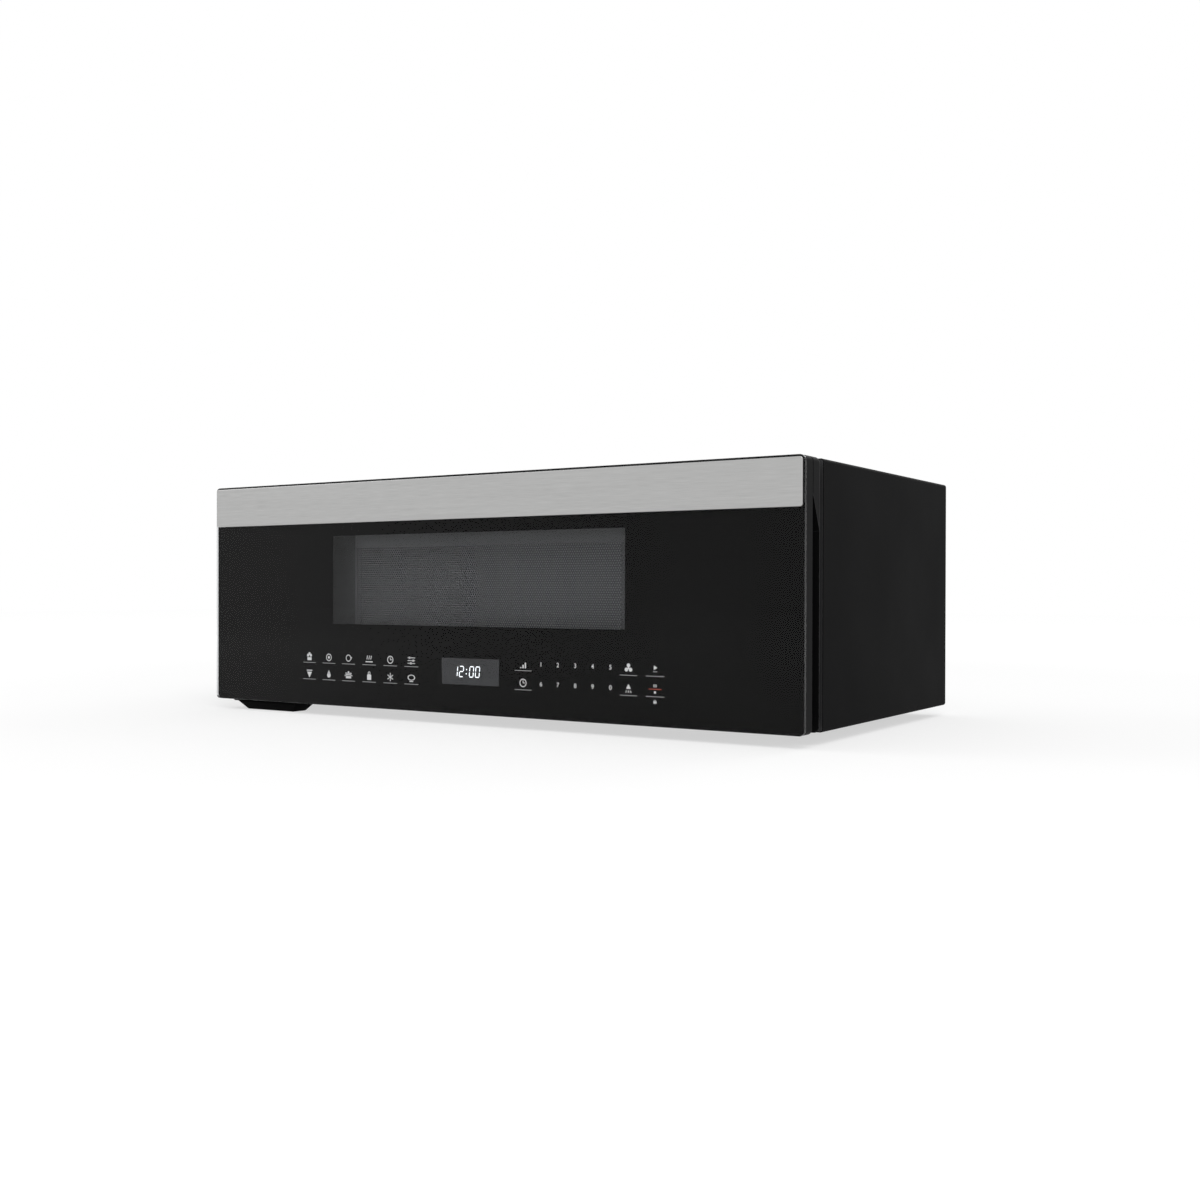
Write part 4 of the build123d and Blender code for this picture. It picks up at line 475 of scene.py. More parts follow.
# The case's edges get a faint painted highlight, together with scuffs.
dress(plain_finish("black powder paint", BLACK, 0.6, tooth=1100, depth=0.35, worn_and_lit_edge=WORN_AND_LIT_GREY, dusty=0.09,
                   mirror=0.02), "outer_case", "base_pan")
dress(plain_finish("front plate paint", (0.03, 0.03, 0.031), 0.5, tooth=1200, depth=0.3,
                   worn_and_lit_edge=(0.2, 0.2, 0.2), mirror=0.3), "front_frame")
dress(plain_finish("choke paint", (0.032, 0.032, 0.033), 0.5, tooth=1400, mirror=0.2), "choke_panel")
dress(plain_finish("black hinge paint", HINGE_BLACK, 0.45, tooth=1200, depth=0.3, worn_and_lit_edge=(0.12, 0.12, 0.12),
                   mirror=0.2), "lower_hinge")
dress(plain_finish("choke moulding", HINGE_BLACK, 0.5, tooth=1300, depth=0.3, mirror=0.3), "choke_cover")
dress(plain_finish("display housing", (0.036, 0.036, 0.038), 0.35, depth=0.05, mirror=0.2), "display_module")


# %% Speckled finishes
def speckled(name, colour, specks, rough, scale, share):
    """A finish with fine specks of a second colour in it, such as enamel or pressed charcoal."""
    material, tree = new_material(name)
    cells = new_node(tree, "TexVoronoi", Vector=object_place(tree), Scale=scale)
    near = sum_up(tree, "LESS_THAN", cells.outputs["Distance"], share)
    cloud = place_group(tree, grain, Scale=700.0)
    colours = blend_colour(tree, near, drift(tree, cloud["Tone"], colour, 0.92, 1.06), specks)
    return fill_shader(material, colours, (cloud["Tone"], rough * 0.8, rough * 1.2), cloud["Height"], 0.1)


dress(speckled("cavity enamel", (0.40, 0.40, 0.39), (0.12, 0.12, 0.12), 0.22, 420.0, 0.16), "oven_cavity")
dress(speckled("pressed charcoal", (0.02, 0.02, 0.02), (0.006, 0.006, 0.006), 0.85, 380.0, 0.3),
      "charcoal_filter")
dress(speckled("mica", (0.44, 0.39, 0.29), (0.60, 0.56, 0.45), 0.4, 300.0, 0.22), "feed_cover")

# %% Moulded small parts
for name, colour, rough, tooth, worn_and_lit_edge, pieces in (
    ("white resin", (0.60, 0.59, 0.55), 0.4, 1300, (0.72, 0.71, 0.68),
     "roller_1 roller_2 roller_3 roller_ring door_latch hinge_bushes"),
    ("warm resin", (0.40, 0.36, 0.29), 0.42, 1200, (0.5, 0.47, 0.4),
     "drive_coupler interlock_bracket thermal_cutouts"),
    ("grey resin", (0.10, 0.10, 0.105), 0.45, 1300, (0.2, 0.2, 0.2),
     "fan_frame cooling_fan blower_wheel cord_bushing"),
    ("black resin", (0.015, 0.015, 0.016), 0.4, 1300, WORN_AND_LIT_GREY, "interlock_switches high_voltage_diode"),
):
    dress(plain_finish(name, colour, rough, tooth=tooth, depth=0.2, worn_and_lit_edge=worn_and_lit_edge), *pieces.split())

# %% [markdown]
# ## Metals inside
#
# Most of the works are galvanised sheet, whose zinc shows as large flat crystals. A Voronoi cell pattern
# gives every crystal a tone of its own. Hinges, springs and screws are zinc plated and smoother, and the
# lights' housings and the grease filters are plain aluminium.

# %% Metals
PLATED = (0.55, 0.55, 0.53)
ALUMINIUM = (0.62, 0.63, 0.64)


def zinc(name, colour, scale, rough):
    """Galvanised steel: flat crystals of slightly different tone, under a trace of dust."""
    material, tree = new_material(name)
    tone = place_group(tree, spangle, Scale=scale)["Tone"]
    fine = place_group(tree, grain, Scale=700.0)
    mask = place_group(tree, dust, Amount=0.4)["Mask"]
    colours = blend_colour(tree, mask, drift(tree, tone, colour, 0.88, 1.07), DUST)
    roughness = (tone, rough - 0.1, rough + 0.1)
    return fill_shader(material, colours, roughness, fine["Height"], 0.15, 0.05 * MM, Metallic=0.9)


dress(zinc("galvanised steel", (0.50, 0.51, 0.52), 130.0, 0.42), "rear_plate", "wall_plate", "exhaust_cover",
      "air_deck", "waveguide", "blower_housing")
dress(zinc("motor steel", (0.44, 0.45, 0.46), 210.0, 0.36), "blower_motor", "turntable_motor", "oven_lamp",
      "magnetron")
dress(plain_finish("plated steel", PLATED, 0.32, metal=1.0, tooth=1500, depth=0.1, worn_and_lit_edge=(0.78, 0.78, 0.77)),
      "upper_hinge", "latch_spring", "cabinet_nuts", "rear_screws", "door_screws")
dress(plain_finish("screen paint", (0.075, 0.075, 0.077), 0.5, depth=0.1), "window_screen")
dress(plain_finish("aluminium", ALUMINIUM, 0.36, metal=1.0, tooth=1200, depth=0.12, worn_and_lit_edge=(0.8, 0.8, 0.8)),
      "capacitor", "cooktop_lamps")

# %% [markdown]
# ## Wound, stacked and printed works
#
# Three pieces have a structure that is finer than it is worth modelling: the core is a stack of thin sheets,
# the windings are rows of lacquered wire, and the boards carry copper tracks under green lacquer. A Wave
# texture gives the first two their lines, in tone and in relief, and a Brick texture the tracks. The lenses
# of the lights have moulded ribs, which are such lines too.

# %% Lines and tracks
def lined(name, colour, gap, direction, scale, metal, rough, depth):
    """A finish with close parallel grooves across one direction."""
    material, tree = new_material(name)
    wave = new_node(tree, "TexWave", Vector=object_place(tree), Scale=scale, Distortion=0.4)
    wave.bands_direction = direction
    cloud = place_group(tree, grain, Scale=800.0)
    colours = blend_colour(tree, wave.outputs["Fac"], gap, drift(tree, cloud["Tone"], colour, 0.85, 1.1))
    roughness = (cloud["Tone"], rough * 0.85, rough * 1.15)
    return fill_shader(material, colours, roughness, wave.outputs["Fac"], 0.6, depth, Metallic=metal)


def printed_board(name, lacquer, copper):
    """A circuit board: green lacquer over a net of copper tracks."""
    material, tree = new_material(name)
    quarter = math.radians(90)
    turned = new_node(tree, "Mapping", Vector=object_place(tree), Rotation=(quarter, 0, quarter))
    tracks = new_node(tree, "TexBrick", Vector=turned.outputs[0], Scale=160.0, Mortar_Size=0.06,
                      Color1=lacquer, Color2=shade(lacquer, 0.7), Mortar=copper)
    cloud = place_group(tree, grain, Scale=500.0)
    colours = blend_colour(tree, cloud["Tone"], tracks.outputs["Color"], lacquer)
    return fill_shader(material, colours, (cloud["Tone"], 0.25, 0.45), tracks.outputs["Fac"], 0.3, 0.05 * MM)


dress(lined("stacked core", (0.20, 0.19, 0.18), (0.05, 0.05, 0.05), "Y", 300.0, 0.7, 0.4, 0.2 * MM),
      "transformer_core")
dress(lined("copper windings", (0.60, 0.22, 0.09), (0.14, 0.04, 0.02), "Z", 260.0, 0.8, 0.3, 0.3 * MM),
      "transformer_windings")
dress(lined("ribbed lens", (0.72, 0.72, 0.70), (0.50, 0.50, 0.50), "X", 110.0, 0.0, 0.18, 0.6 * MM),
      "lamp_lenses")
dress(printed_board("circuit board", (0.02, 0.09, 0.035), (0.16, 0.20, 0.06)), "touch_board", "power_board",
      "line_filter")

# %% [markdown]
# ## Filter metal
#
# A grease filter is folded aluminium gauze in a bright rim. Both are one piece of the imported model, so one
# finish has to tell them apart. It does so by height: between the rim's two faces lies the gauze, which is
# darker and crossed by fine wire. A lattice of real strands is laid over it further on.

# %% Filter finish
WIRE_RATE = 2200.0  # radians for each metre across the gauze
RIM_T = 2.0 * MM


def wires(tree, position):
    """A fine wave across the gauze, one for each wire."""
    return sum_up(tree, "ABSOLUTE", sum_up(tree, "SINE", sum_up(tree, "MULTIPLY", position, WIRE_RATE)))


def filter_metal(name, bright, gauze, low, high):
    """Bright aluminium, with dark crossed gauze between two heights."""
    material, tree = new_material(name)
    place = new_node(tree, "SeparateXYZ", object_place(tree)).outputs
    above = sum_up(tree, "GREATER_THAN", place["Z"], low)
    inside = sum_up(tree, "MULTIPLY", above, sum_up(tree, "LESS_THAN", place["Z"], high))
    woven = sum_up(tree, "MULTIPLY", wires(tree, place["X"]), wires(tree, place["Y"]))
    cloud = place_group(tree, grain, Scale=900.0)
    metal = drift(tree, cloud["Tone"], bright, 0.88, 1.08)
    colours = blend_colour(tree, inside, metal, drift(tree, woven, gauze, 1.6, 0.5))
    roughness = (cloud["Tone"], 0.3, 0.45)
    return fill_shader(material, colours, roughness, cloud["Height"], 0.1, 0.05 * MM, Metallic=0.9)


filter_low, filter_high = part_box("grease_filter_left")
filter_finish = filter_metal("filter aluminium", ALUMINIUM, (0.12, 0.12, 0.12), filter_low.z + 2 * RIM_T / 3,
                             filter_high.z - RIM_T / 2)
dress(filter_finish, "grease_filter_left", "grease_filter_right")
dress(clear_glass("tray glass", (0.93, 0.96, 0.95), 1.45, 0.03), "glass_tray")
print("still plain:", sorted(set(nodes) - dressed))

# %% [markdown]
# ## Modelling helpers
#
# The new pieces are made as they would be by hand: a primitive is placed, edited in edit mode, given its
# modifiers, which are applied, and joined with its fellows. At the end each piece's place is written into its
# mesh, so that it stands unturned at the origin like the frame's pieces, and it rides on its body. Repeated
# parts are made once and copied, each with a mesh of its own.

# %% Modelling helpers
SAME_POINT = 0.001 * MM
MERGE_GAP = 0.02 * MM


def alone(piece):
    """Makes one object the active and the only selected one."""
    bpy.ops.object.select_all(action="DESELECT")
    piece.select_set(True)
    bpy.context.view_layer.objects.active = piece


def copy_of(piece):
    """A copy with a mesh of its own."""
    double = piece.copy()
    double.data = piece.data.copy()
    scene.collection.objects.link(double)
    return double


def joined(name, *pieces):
    """Joins pieces into one, with its place written into its mesh."""
    alone(pieces[0])
    for piece in pieces:
        piece.select_set(True)
    if len(pieces) > 1:
        bpy.ops.object.join()
    whole = bpy.context.object
    bpy.ops.object.transform_apply(location=True, rotation=True, scale=True)
    whole.name = name
    whole.data.name = name
    return whole


def with_modifier(piece, kind, **values):
    """Adds a modifier with its values and applies it."""
    alone(piece)
    modifier = piece.modifiers.new(kind.lower(), kind)
    for key, value in values.items():
        setattr(modifier, key, value)
    bpy.ops.object.modifier_apply(modifier=modifier.name)


def edit(piece, *steps):
    """Opens a piece in edit mode with everything selected, runs the steps, and closes it."""
    alone(piece)
    bpy.ops.object.mode_set(mode="EDIT")
    bpy.ops.mesh.select_all(action="SELECT")
    for step in steps:
        step()
    bpy.ops.object.mode_set(mode="OBJECT")
    return piece


def place_piece(piece, material, body, slot_name, *replaced):
    """Gives a finished piece its material and body, and hides the nodes it replaces; the slot name is not
    used.
    """
    piece.data.materials.clear()
    piece.data.materials.append(material)
    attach(piece, body)
    if replaced:
        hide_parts(*replaced)
    faces = sum(len(p.vertices) - 2 for p in piece.data.polygons)
    print(piece.name, "rides on", body, "with", faces, "triangles")


# %% Steps in edit mode
def merge_points():
    """Merges points that lie on each other."""
    bpy.ops.mesh.remove_doubles(threshold=SAME_POINT)


def outward():
    """Merges doubled points and turns all faces outward."""
    bpy.ops.mesh.select_all(action="SELECT")
    merge_points()
    bpy.ops.mesh.normals_make_consistent(inside=False)


def pulled(*shift):
    """A step that extrudes what is selected by a shift."""
    return lambda: bpy.ops.mesh.extrude_region_move(TRANSFORM_OT_translate={"value": shift})


def resized(*shares):
    """A step that makes what is selected larger or smaller."""
    return lambda: bpy.ops.transform.resize(value=shares)


def lower_faces_of(piece):
    """A step that selects only the faces that look down."""
    def pick():
        bpy.ops.mesh.select_mode(type="FACE")
        mesh = bmesh.from_edit_mesh(piece.data)
        for face in mesh.faces:
            face.select = face.normal.z < -0.5
        mesh.select_flush_mode()
        bmesh.update_edit_mesh(piece.data)

    return pick


# %% Flat pieces and grids
def disc(sides, radius, **placed):
    """A flat disc, or a polygon if it has few sides."""
    bpy.ops.mesh.primitive_circle_add(vertices=sides, radius=radius, fill_type="NGON", **placed)
    return bpy.context.object


def opened(piece, line):
    """Leaves only a line of a given width along the rim of a flat piece."""
    return edit(piece, lambda: bpy.ops.mesh.inset(thickness=line), lambda: bpy.ops.mesh.delete(type="FACE"))


def grid_of(tile, step_along, step_up, shift, along, up):
    """Repeats a flat tile in rows, with every second row shifted, and merges what touches."""
    for count, step in ((along, step_along), (2, shift), (up, step_up)):
        with_modifier(tile, "ARRAY", count=count, use_relative_offset=False, use_constant_offset=True,
                      constant_offset_displace=step, use_merge_vertices=True, merge_threshold=MERGE_GAP)
    return edit(tile, outward)


# %% [markdown]
# ## The printed marks
#
# The keys are only ink on the back of the glass, under which the touch board feels a finger. The words of the
# real ones are left off: each key has a plain picture of what such keys do, and ten keys have their numbers.
# A picture could be drawn as a texture, but ink is cheap to model: discs, bars and hoops lie flat in the
# door's face, are joined, and get the ink's thickness by one extrude. Places are given from the door's left
# and top edges in millimetres, as they look in the photograph. Seen from the right, what is printed on the
# glass's back looks a little further right than it is, so all marks stand that much further left. A picture
# is a list of marks: what each is, its place to the right of and below the key's middle, and its size.

# %% Mark helpers
INK_T = 0.03 * MM
SEEN_SHIFT = 2.4  # how far the glass seems to move a mark to the right
STANDING = math.pi / 2
glass_low, glass_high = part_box("door_glass")


def on_face(across, down):
    """A point on the back of the glass, from the door's left and top edges in millimetres."""
    return Vector((glass_low.x + (across - SEEN_SHIFT) * MM, glass_high.y, glass_high.z - down * MM))


def dot(across, down, radius, sides=20, turn=0.0, wide=1.0):
    """A flat disc in the door's face, or a triangle or square if it has few sides."""
    mark = disc(sides, radius * MM, location=on_face(across, down), rotation=(STANDING, math.radians(turn), 0))
    mark.scale.x = wide
    return mark


def bar(across, down, length, width, turn=0.0):
    """A flat bar in the door's face."""
    turns = (STANDING, math.radians(turn), 0)
    bpy.ops.mesh.primitive_plane_add(size=MM, location=on_face(across, down), rotation=turns)
    bpy.context.object.scale = (length, width, 1)
    return bpy.context.object


def hoop(across, down, radius, line=0.7, wide=1.0):
    """A ring in the door's face."""
    return opened(dot(across, down, radius, 28, wide=wide), line * MM)


def picture(marks, x, y, size):
    """Draws a picture round a key's middle, larger or smaller."""
    middle = on_face(x, y)
    pieces = [kind(x + to_right, y + down, *sizes) for kind, to_right, down, *sizes in marks]
    for piece in pieces:
        piece.location = middle + (piece.location - middle) * size
        piece.scale *= size
    return pieces


def inked(name, pieces):
    """Joins flat marks and gives them the ink's thickness, towards the front."""
    return edit(joined(name, *pieces), pulled(0, -INK_T, 0), outward)


# %% Key pictures
TRIO = (-1, 0, 1)
BLADES = [math.radians(90 + 120 * n) for n in range(3)]

KERNELS = ((dot, -1.7, -1.2, 1.3), (dot, 1.7, -1.2, 1.3), (dot, 0, -2.6, 1.3), (bar, 0, 1.8, 5, 2.6))
SENSOR = ((hoop, 0, 0, 3.2), (dot, 0, 0, 1.2))
TURNED_ARROW = ((hoop, 0, 0, 3.0), (dot, 3.0, -0.2, 1.5, 3, 180))
STEAM = (*((bar, n * 2.2, -1.2, 0.7, 3.4, 12) for n in TRIO), (bar, 0, 2.4, 8, 0.9))
CLOCK_FACE = ((hoop, 0, 0, 3.3), (bar, 0, -1.0, 0.6, 2.2), (bar, 0.8, 0, 1.8, 0.6))
KNOBS = ((dot, -2, -2.3, 1.0), (dot, 2, 0, 1.0), (dot, -0.5, 2.3, 1.0))
SLIDERS = (*((bar, 0, n * 2.3, 8, 0.6) for n in TRIO), *KNOBS)
SLICE_OF_FOOD = ((dot, 0, 0.4, 3.4, 3, 180), (bar, 0, -2.6, 6.6, 0.8))
DROP = ((dot, 0, 0.9, 2.1), (dot, 0, -1.5, 2.0, 3))
POT = ((bar, 0, 1.0, 6.0, 3.6), (bar, 0, -1.6, 7.4, 0.7), (dot, 0, -2.6, 0.8), (bar, 0, 0.4, 9, 0.8))
WEIGHT = ((dot, 0, 1.0, 3.2, 4, 45), (hoop, 0, -2.4, 1.4, 0.6))
SNOWFLAKE = tuple((bar, 0, 0, 7.0, 0.7, turn) for turn in (30, 90, 150))
TURNING_PLATE = ((hoop, 0, -0.4, 2.4, 0.6, 1.7), (bar, 0, 2.8, 4, 0.7))
STEPS_UP = tuple((bar, n * 2.2, 1.9 - n * 0.9, 1.3, 2.6 + n * 1.8) for n in TRIO)
FAN = (*((dot, 2.1 * math.cos(t), -2.1 * math.sin(t), 1.5) for t in BLADES), (dot, 0, 0, 0.8))
LAMP = (*((bar, n * 2.0, 2.5, 0.6, 1.8, n * -18) for n in TRIO), (dot, 0, -0.8, 2.4, 3))
PLAY_AND_MORE = ((dot, 0, -0.4, 2.6, 3, 90), (bar, -1.1, 3.4, 1.8, 0.5), (bar, 1.3, 3.4, 1.8, 0.5))
PAUSE = ((bar, -1.1, 0, 0.9, 2.8), (bar, 1.1, 0, 0.9, 2.8))
STOP = ((dot, 0, 0, 1.5, 4, 45),)
PADLOCK = ((bar, 0, 0.9, 3.4, 2.2), (hoop, 0, -0.4, 1.2, 0.4))

# %% Keys with pictures
FIRST_ROW = 196.5
SECOND_ROW = 215.3
LEFT_KEYS = (153.7, 183.8, 213.6, 244.3, 275.0, 304.9)
LEVEL_KEYS = 452.8
LIGHT_KEYS = 577.7
START_KEYS = 607.2
LARGE = 1.3
SMALL = 1.0

pictures = []
for x, upper, lower in zip(
    LEFT_KEYS,
    (KERNELS, SENSOR, TURNED_ARROW, STEAM, CLOCK_FACE, SLIDERS),
    (SLICE_OF_FOOD, DROP, POT, WEIGHT, SNOWFLAKE, TURNING_PLATE),
):
    pictures += picture(upper, x, FIRST_ROW, LARGE) + picture(lower, x, SECOND_ROW, LARGE)
for marks, x, down, size in (
    (STEPS_UP, LEVEL_KEYS, 195.6, LARGE),
    (CLOCK_FACE, LEVEL_KEYS, 214.6, LARGE),
    (FAN, LIGHT_KEYS, 195.6, LARGE),
    (LAMP, LIGHT_KEYS, 214.9, LARGE),
    (PLAY_AND_MORE, START_KEYS, 194.6, SMALL),
    (PAUSE, START_KEYS, 211.4, SMALL),
    (STOP, START_KEYS, 217.6, SMALL),
    (PADLOCK, START_KEYS, 226.2, SMALL),
):
    pictures += picture(marks, x, down, size)
key_symbols = inked("key_symbols", pictures)

# %% Underlines
UNDERLINE_T = 0.55

lines = []
for keys, upper, lower, length in (
    (LEFT_KEYS, 203.0, 221.8, 19.5),
    ((LEVEL_KEYS,), 202.2, 221.6, 21),
    ((LIGHT_KEYS,), 202.4, 221.8, 19.6),
    ((START_KEYS,), 202.3, 221.7, 20.4),
):
    for x in keys:
        lines += [bar(x, upper, length, UNDERLINE_T), bar(x, lower, length, UNDERLINE_T)]
key_underlines = inked("key_underlines", lines)
stop_line = inked("stop_line", [bar(START_KEYS, 214.6, 14.0, UNDERLINE_T)])

# %% Number keys
DIGIT_HEIGHT = 4.6 * MM
CAP_SHARE = 0.72
DIGIT_BOLD = 0.06 * MM
NUMBER_KEYS = (474.9, 495.4, 516.2, 536.6, 557.2)
NUMBER_ROWS = ((195.1, "12345"), (214.9, "67890"))

digits = []
for down, row in NUMBER_ROWS:
    for across, figure in zip(NUMBER_KEYS, row):
        foot = on_face(across, down) - Vector((0, 0, DIGIT_HEIGHT / 2))
        bpy.ops.object.text_add(location=foot, rotation=(STANDING, 0, 0))
        text = bpy.context.object
        text.data.body = figure
        text.data.size = DIGIT_HEIGHT / CAP_SHARE
        text.data.align_x = "CENTER"
        text.data.offset = DIGIT_BOLD
        bpy.ops.object.convert(target="MESH")
        digits.append(bpy.context.object)
key_digits = inked("key_digits", digits)

# %% Ink finishes
for marks, colour in (
    (key_symbols, (0.80, 0.80, 0.80)),
    (key_underlines, (0.45, 0.45, 0.45)),
    (stop_line, (0.62, 0.12, 0.08)),
    (key_digits, (0.85, 0.85, 0.85)),
):
    ink = plain_finish(marks.name.replace("_", " "), colour, 0.6, tooth=1500, depth=0.0, mirror=0.2)
    place_piece(marks, ink, "door", "black_print")

# %% [markdown]
# ## The clock
#
# The display shows 12:00 in seven-segment figures. One segment is a flat bar whose four corners are cut to
# points, as on the real part. It is copied to its places for each figure, turned upright where it has to be,
# and the whole leans a little to the right. It glows by itself.

# %% Clock
FIGURE_HEIGHT = 11.8
FIGURE_WIDTH = 6.0
FIGURE_STEP = 8.3
SEGMENT_T = 1.0
SEGMENT_GAP = 0.25
CUT_SHARE = 0.46  # of the segment's thickness
COLON_RISE = 2.2
COLON_RADIUS = 0.7
LEAN = math.tan(math.radians(6))
CLOCK_X, CLOCK_Y = 380.0, 205.8
FIGURES = ((-1.75, "1"), (-0.8, "2"), (0.8, "0"), (1.75, "0"))  # place in steps from the middle
LIT = {"0": "abcdef", "1": "bc", "2": "abged"}
PLACES = {"a": (0, -1), "b": (1, -0.5), "c": (1, 0.5), "d": (0, 1), "e": (-1, 0.5), "f": (-1, -0.5),
          "g": (0, 0)}

segment = bar(0, 0, 1, 1)
segment.scale = (1, 1, 1)
segment.dimensions = ((FIGURE_HEIGHT / 2 - SEGMENT_T - SEGMENT_GAP) * MM, SEGMENT_T * MM, 0)
alone(segment)
bpy.ops.object.transform_apply(location=False, rotation=False, scale=True)
edit(segment, lambda: bpy.ops.mesh.bevel(affect="VERTICES", offset=CUT_SHARE * SEGMENT_T * MM, segments=1))

glow_parts = []
for steps, figure in FIGURES:
    for letter in LIT[figure]:
        side, level_at = PLACES[letter]
        across = CLOCK_X + steps * FIGURE_STEP + side * (FIGURE_WIDTH - SEGMENT_T) / 2
        down = level_at * (FIGURE_HEIGHT - SEGMENT_T) / 2
        part = copy_of(segment)
        part.location = on_face(across - down * LEAN, CLOCK_Y + down)
        if side:
            part.rotation_euler.y = math.radians(90) + math.atan(LEAN)
        glow_parts.append(part)
for rise in (-COLON_RISE, COLON_RISE):
    glow_parts.append(dot(CLOCK_X + rise * LEAN, CLOCK_Y - rise, COLON_RADIUS, 12))
bpy.data.objects.remove(segment)
clock_digits = inked("clock_digits", glow_parts)

glowing, tree = new_material("clock glow")
evenness = place_group(tree, grain, Scale=400.0)["Height"]
colours = blend_colour(tree, evenness, (0.75, 0.78, 0.8), (0.9, 0.93, 0.95))
put(tree, tree.nodes[SHADER], Base_Color=colours, Roughness=0.5, Emission_Color=(0.92, 0.97, 1.0),
    Emission_Strength=1.0)
place_piece(clock_digits, glowing, "door", "display_housing")

# %% [markdown]
# ## The window's screen
#
# Behind the glass hangs a steel sheet full of small holes, which lets light out of the oven and keeps
# microwaves in. The frame's sheet is whole, so a real one replaces it. Each hole is a hexagon in a hexagonal
# tile: a six-sided disc, set in and opened. One tile is repeated along a row, then row by row with every
# second row shifted by half a step, and the tiles merge into a sheet that gets its thickness last. Round
# holes would need four times as many faces and look the same from outside the door.

# %% Screen
HOLE_PITCH = 2.8 * MM
HOLE_ACROSS = 1.5 * MM
SHEET_T = 0.4 * MM
BORDER = 8.0 * MM
SIDE_BORDER = 2.5 * MM
TOP_BORDER = 24.0 * MM
screen_low, screen_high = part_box("window_screen")
field_low = Vector((screen_low.x + SIDE_BORDER, 0, screen_low.z + BORDER))
field_high = Vector((screen_high.x - SIDE_BORDER, 0, screen_high.z - TOP_BORDER))

tile = disc(6, HOLE_PITCH / math.sqrt(3))
flat_sided = max(abs(v.co.x) for v in tile.data.vertices) < 0.51 * HOLE_PITCH
tile.rotation_euler = (STANDING, 0 if flat_sided else math.radians(30), 0)
tile = opened(joined("window_mesh", tile), (HOLE_PITCH - HOLE_ACROSS) / 2)
row_step = HOLE_PITCH * math.sqrt(3) / 2
columns = int((field_high.x - field_low.x) / HOLE_PITCH) + 1
row_pairs = int((field_high.z - field_low.z) / (2 * row_step)) + 1
grid_of(tile, (HOLE_PITCH, 0, 0), (0, 0, 2 * row_step), (HOLE_PITCH / 2, 0, row_step), columns, row_pairs)
with_modifier(tile, "SOLIDIFY", thickness=SHEET_T, offset=0)
tile.location = (field_low.x, (screen_low.y + screen_high.y) / 2, field_low.z)
print("holes", columns * row_pairs * 2, "in", columns, "columns")

# %% Screen border
middle = (screen_low + screen_high) / 2
screen_size = screen_high - screen_low
bpy.ops.mesh.primitive_plane_add(size=1, location=middle, rotation=(STANDING, 0, 0))
bpy.context.object.scale = (screen_size.x, screen_size.z, 1)
border = opened(joined("border", bpy.context.object), BORDER)
for vertex in border.data.vertices:
    if abs(vertex.co.x - middle.x) < (screen_size.x - BORDER) / 2:
        vertex.co.x = field_low.x if vertex.co.x < middle.x else field_high.x
        vertex.co.z = field_low.z if vertex.co.z < middle.z else field_high.z
with_modifier(border, "SOLIDIFY", thickness=screen_size.y, offset=0)
window_mesh = edit(joined("window_mesh", tile, border), outward)
screen_paint = plain_finish("black screen", (0.062, 0.062, 0.064), 0.5, depth=0.05)
place_piece(window_mesh, screen_paint, "door", "screen_steel", "window_screen")

# %% [markdown]
# ## Screw heads
#
# The frame's screws are plain discs. A real head is a low dome with a cross recess for the driver. One head
# is a disc that is extruded and drawn in, step by step, into a dome; the recess is cut by two crossed wedges
# with a Boolean. It is modelled once, facing up, and copied to the middle of each of the frame's screws,
# turned by a different amount each time, as a driver leaves them.

# %% Screw head
HEAD_RADIUS = 3.6 * MM
HEAD_HEIGHT = 2.0 * MM
HEAD_SIDES = 32
HEAD_STEPS = ((0.45, 1.0), (0.38, 0.82), (0.17, 0.62))  # share of the height, then how far it draws in
RECESS_LENGTH = 4.2 * MM
RECESS_WIDTH = 0.9 * MM
RECESS_DEPTH = 1.2 * MM
RECESS_FLOOR = (0.45, 0.6, 1)  # the wedge's lower end, as a share of its upper
FIRST_TURN = 17
TURN_STEP = 41


def screw_head():
    """A domed head with a cross recess, standing on the origin and facing up."""
    head = disc(HEAD_SIDES, HEAD_RADIUS)
    steps = [(pulled(0, 0, HEAD_HEIGHT * rise), resized(share, share, 1)) for rise, share in HEAD_STEPS]
    edit(head, *sum(steps, ()), outward)
    bpy.ops.mesh.primitive_cube_add(size=1, location=(0, 0, HEAD_HEIGHT))
    wedge = bpy.context.object
    wedge.scale = (RECESS_LENGTH, RECESS_WIDTH, 2 * RECESS_DEPTH)
    edit(wedge, lower_faces_of(wedge), resized(*RECESS_FLOOR))
    for turn in (0, 90):
        wedge.rotation_euler.z = math.radians(turn)
        with_modifier(head, "BOOLEAN", operation="DIFFERENCE", solver="EXACT", object=wedge)
    bpy.data.objects.remove(wedge)
    return head


def parts_of(name):
    """The lowest and highest corners of every separate part of a node."""
    edit(copy_of(nodes[name]), merge_points, lambda: bpy.ops.mesh.separate(type="LOOSE"))
    boxes = []
    for part in list(bpy.context.selected_objects):
        points = [vertex.co for vertex in part.data.vertices]
        low = Vector(min(point[axis] for point in points) for axis in range(3))
        high = Vector(max(point[axis] for point in points) for axis in range(3))
        boxes.append((low, high))
        bpy.data.objects.remove(part)
    return sorted(boxes, key=lambda box: (box[0].x, box[0].z))


def screws_for(name, body):
    """Puts a head over every screw of a node; the heads face backwards, away from the door's front."""
    heads = []
    master = screw_head()
    for number, (low, high) in enumerate(parts_of(name)):
        head = copy_of(master)
        head.rotation_euler = (-STANDING, math.radians(FIRST_TURN + TURN_STEP * number), 0)
        head.location = ((low.x + high.x) / 2, low.y, (low.z + high.z) / 2)
        heads.append(head)
    bpy.data.objects.remove(master)
    screws = edit(joined(name + "_heads", *heads), outward)
    place_piece(screws, screw_steel, body, "plated_screws", name)


